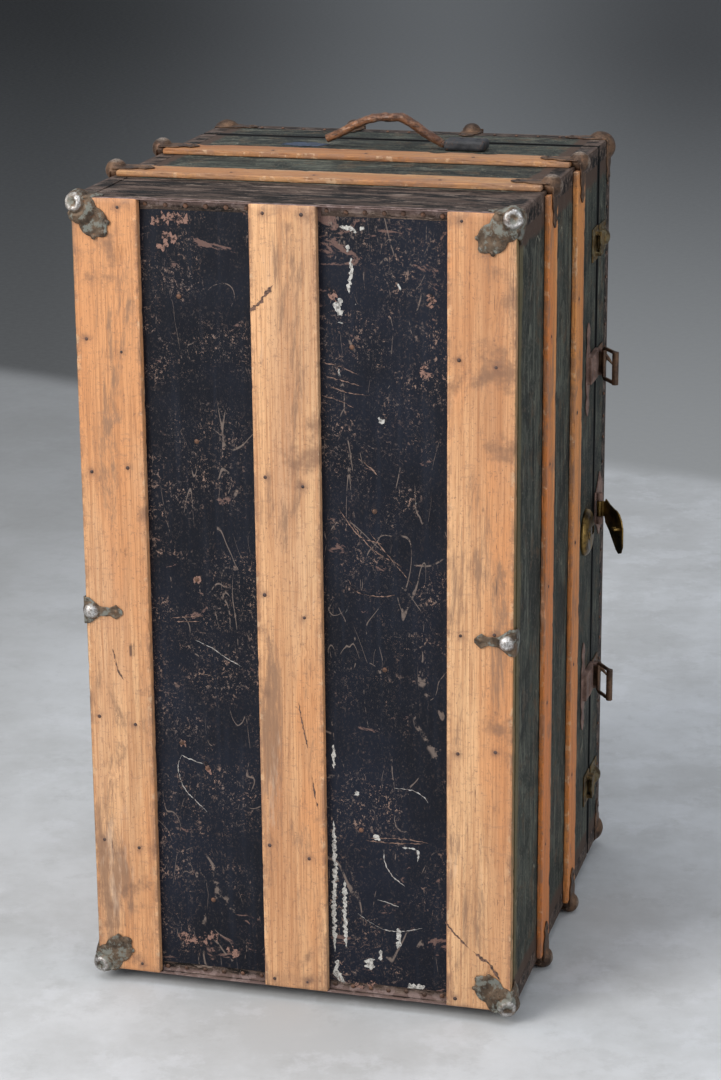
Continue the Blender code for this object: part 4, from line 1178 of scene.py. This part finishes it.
def make_hardware(rusty, brass, golden, leafy, grey):
    """Latches, dowels, hinges, hasp and lock, softened from their CAD shapes."""
    rows = []
    for end in ENDS:
        low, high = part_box(f"latch_base_{end}")
        z = (low[2] + high[2]) / 2 - ORIGIN.z
        face = HALF_W + 0.0018
        rivets = [(world(face, 0.404, z + dz), X, 0.0028, 0.5) for dz in (-0.046, 0.046)]
        rivets += [(world(HALF_W + 0.0072, 0.4185, z + dz), X, 0.0085, 0.22) for dz in (-0.0075, 0.0075)]
        rows.append((f"latch_base_{end}", "trunk", leafy, "steel", rivets, 0.0007))
        rows.append((f"latch_loop_{end}", f"{end}_latch", rusty, "steel", [], 0.00055))
        rivets = [(world(face, 0.4935, z + dz), X, 0.0024, 0.5) for dz in (-0.008, 0.008)]
        rows.append((f"latch_catch_{end}", "lid", rusty, "steel", rivets, 0.0007))
        low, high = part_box(f"dowel_socket_{end}")
        z = (low[2] + high[2]) / 2 - ORIGIN.z
        rivets = [(world(face, 0.4275, z + dz), X, 0.0026, 0.5) for dz in (-0.0135, 0.0135)]
        rows.append((f"dowel_socket_{end}", "trunk", golden, "steel", rivets, 0.0006))
        rivets = [(world(face, 0.4985, z + dz), X, 0.0024, 0.5) for dz in (-0.013, 0.013)]
        rows.append((f"dowel_tongue_{end}", "lid", golden, "steel", rivets, 0.0006))
        low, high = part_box(f"hinge_body_leaf_{end}")
        z = (low[2] + high[2]) / 2 - ORIGIN.z
        back = -HALF_W - 0.0019
        rivets = [(world(back, y, z + dz), -X, 0.0026, 0.45) for y in (0.416, 0.432)
                  for dz in (-0.019, 0.019)]
        rows.append((f"hinge_body_leaf_{end}", "trunk", rusty, "steel", rivets, 0.0006))
        rivets = [(world(back, y, z + dz), -X, 0.0026, 0.45) for y in (0.484, 0.500)
                  for dz in (-0.019, 0.019)]
        rows.append((f"hinge_lid_leaf_{end}", "lid", rusty, "steel", rivets, 0.0006))
    low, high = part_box("hasp_plate")
    z = (low[2] + high[2]) / 2 - ORIGIN.z
    rivets = [(world(HALF_W + 0.0018, 0.496, z + dz), X, 0.0027, 0.5)
              for dz in (-0.031, -0.012, 0.012, 0.031)]
    rows.append(("hasp_plate", "lid", leafy, "steel", rivets, 0.0007))
    rows.append(("hasp", "hasp_flap", brass, "brass", [], 0.0006))
    rows.append(("lock_case", "trunk", brass, "brass", [], 0.0006))
    rows.append(("lock_plug", "plug", brass, "brass", [], 0.0003))
    for node, body, material, slot, rivets, voxel in rows:
        mesh = reshaped(softened((node,), voxel, rivets, 3), None)
        made_piece(f"{node}_worn", mesh, material, body, (node,))
    for node in [name for name in NODES if "handle_cap" in name]:
        low, high = (Vector(corner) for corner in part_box(node))
        middle = (low + high) / 2 - ORIGIN
        sz = 1 if middle.z > 0 else -1
        top = (high.z if sz > 0 else low.z) - ORIGIN.z
        rivets = [(world(middle.x + dx, middle.y, top - sz * 0.0006), sz * Z, 0.0034, 0.5)
                  for dx in (-0.006, 0.014)]
        mesh = reshaped(softened((node,), 0.0007, rivets, 6), None)
        made_piece(f"{node}_worn", mesh, grey, "trunk", (node,))


def make_claws(material):
    """The pointed hook of each latch's catch, turned out and downwards."""
    for end, row in (("upper", "latch_catch_upper"), ("lower", "latch_catch_lower")):
        low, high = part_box(row)
        z = (low[2] + high[2]) / 2 - ORIGIN.z
        rings = []
        for i in range(15):
            t = i / 14
            x = HALF_W + 0.0050 + 0.0125 * t
            y = 0.4806 - 0.0010 * math.sin(math.pi * t)
            drop = 0.0015 - 0.0120 * t ** 1.8
            half = 0.0036 * (1 - t) ** 0.6 + 0.0005
            ring = []
            for k in range(12):
                angle = 2 * math.pi * k / 12
                ring.append(list(world(x + 0.3 * half * math.sin(angle),
                                       y + 0.0022 * (1 - 0.6 * t) * math.cos(angle),
                                       z + drop + half * math.sin(angle))))
            rings.append(ring)
        made_piece(f"latch_claw_{end}", loft(np.array(rings)), material, "lid")


def handle_rings(points, seed, thick, wide):
    """Sections of a strap along (x, z) points: a flattened oval with a raised middle."""
    count = 28
    rings = []
    for i, point in enumerate(points):
        before, after = points[max(0, i - 1)], points[min(len(points) - 1, i + 1)]
        run = (after - before).normalized()
        up = Vector((-run.y, run.x))
        t = i / (len(points) - 1)
        ring = []
        for k in range(count):
            angle = 2 * math.pi * k / count
            c, s = math.cos(angle), math.sin(angle)
            half_w = wide(t)
            half_h = thick(t)
            across = half_w * math.copysign(abs(c) ** 0.8, c)
            lift = half_h * math.copysign(abs(s) ** 0.9, s)
            twist = t * 9 + 0.9 * math.sin(angle)
            lift += 0.0011 * wobble((twist, c, s), 2.2, seed) + 0.0006 * wobble((t * 30, c * 3, s * 3),
                                                                                1.5, seed)
            across += 0.0007 * wobble((t * 12, c, 1), 2.0, seed + 4)
            place = point + up * lift
            ring.append((place.x, across, place.y))
        rings.append(ring)
    return rings


def make_handles(leather):
    """The leather straps, with the upper one's bends worked out in millimetres. A helper
    script worked out the upper one's bends, in millimetres.
    """
    low, high = (Vector(corner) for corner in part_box("upper_handle"))
    middle_y = (low.y + high.y) / 2
    base_z = ORIGIN.z + HALF_L + 0.0060
    bends = mm((-71, 2), (-60, 7), (-48, 13), (-33, 21), (-15, 27.5), (3, 29.5), (20, 29.5), (30, 25),
               (39, 19), (48, 13), (57, 8), (68, 1))
    points = []
    for place in smooth_path([(x, z) for x, z in bends], 0.0017):
        ripple = 0.0008 * wobble((place.x * 40, 0, 0), 1.9, 6) * min(1.0, place.y / 0.006)
        points.append(Vector((ORIGIN.x + place.x, base_z + place.y + ripple)))
    last = len(points) - 1
    points += [Vector((ORIGIN.x + 0.0690 + 0.0021 * i, base_z)) for i in range(11)]
    total = len(points) - 1

    def wide(t):
        i = t * total
        hump = math.sin(math.pi * min(1.0, i / last)) ** 0.6 if i < last else 0.0
        return 0.0054 + 0.0038 * hump

    def thick(t):
        i = t * total
        return 0.0040 if i > last else 0.0047

    rings = np.array(handle_rings(points, 2.0, thick, wide))
    rings[:, :, 1] += middle_y
    made_piece("upper_handle_leather", loft(rings), leather, "top_handle", ("upper_handle",))
    low, high = (Vector(corner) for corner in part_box("lower_handle"))
    middle_z = (low.z + high.z) / 2
    span = high.x - low.x
    points = [Vector((low.x + 0.001 + (span - 0.002) * i / 70, middle_z)) for i in range(71)]

    def wide_low(t):
        reach = min(t, 1 - t) * span
        return 0.0034 + 0.0052 * min(1.0, max(0.0, (reach - 0.022) / 0.03))

    rings = np.array(handle_rings(points, 5.0, lambda t: 0.0032, wide_low))
    rings[:, :, 1] += (low.y + high.y) / 2
    made_piece("lower_handle_leather", loft(rings), leather, "under_handle", ("lower_handle",))


def make_blue_patch():
    """A ragged thin flake of paint on the upper end, where the back cap was."""
    rings = []
    for z in (HALF_L + 0.0002, HALF_L + 0.0006):
        ring = []
        for i in range(120):
            angle = 2 * math.pi * i / 120
            c, d = math.cos(angle), math.sin(angle)
            reach = 0.85 + 0.22 * wobble((c, d, 0), 2.6, 8) + 0.20 * wobble((c, d, 0), 9.0, 8)
            reach += 0.12 * wobble((c, d, 0), 25.0, 8)
            ring.append(list(world(-0.098 + 0.0290 * reach * c, 0.402 + 0.0170 * reach * d, z)))
        rings.append(ring)
    made_piece("blue_patch", loft(np.array(rings)), bare_patch(), "trunk")


def cover_case():
    """Materials of the two CAD shells, which stay as they are."""
    low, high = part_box("body_case")
    body = canvas("body_canvas", (low[0], low[1], low[2]), (high[0], high[1] + 0.05, high[2]),
                  (BODY_RIM + ORIGIN.y - 0.0012, BODY_RIM + ORIGIN.y - 0.0008))
    low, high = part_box("lid_shell")
    lid = canvas("lid_canvas", (low[0], low[1] - 0.05, low[2]), (high[0], high[1], high[2]), (9.0, 9.1))
    for node, material in (("body_case", body), ("lid_shell", lid)):
        for slot in NODES[node].material_slots:
            slot.material = material


make_studio()
RUSTY = old_metal("rusty_steel", (0.050, 0.029, 0.019), (0.175, 0.100, 0.058), metallic=0.55,
                  shine=(0.42, 0.35, 0.29))
VERDIGRIS = old_metal("verdigris_steel", (0.060, 0.043, 0.031), (0.185, 0.130, 0.088),
                      (0.175, 0.190, 0.165),
                      shine=(0.74, 0.73, 0.72))
NAILS = old_metal("nail_heads", (0.070, 0.040, 0.028), (0.200, 0.100, 0.062), metallic=0.4)
DARK_NAILS = old_metal("dark_nail_heads", (0.040, 0.026, 0.024), (0.115, 0.070, 0.058), metallic=0.3)
BRASS = tarnished_brass()
cover_case()
make_slats(DARK_NAILS)
SPANS = make_sheet(NAILS)
make_bindings(SPANS, NAILS)
make_clamps(RUSTY, VERDIGRIS)
GOLDEN = old_metal("gilt_steel", (0.050, 0.032, 0.014), (0.210, 0.135, 0.050), (0.120, 0.095, 0.042),
                   (0.36, 0.24, 0.10))
GREY_STEEL = old_metal("grey_steel", (0.014, 0.015, 0.018), (0.050, 0.050, 0.054), metallic=0.35,
                       shine=(0.20, 0.20, 0.21))
LEAFY = old_metal("pink_rust_steel", (0.115, 0.062, 0.045), (0.270, 0.170, 0.135), metallic=0.35)
make_hardware(RUSTY, BRASS, GOLDEN, LEAFY, GREY_STEEL)
make_claws(RUSTY)
make_handles(old_leather())
make_blue_patch()
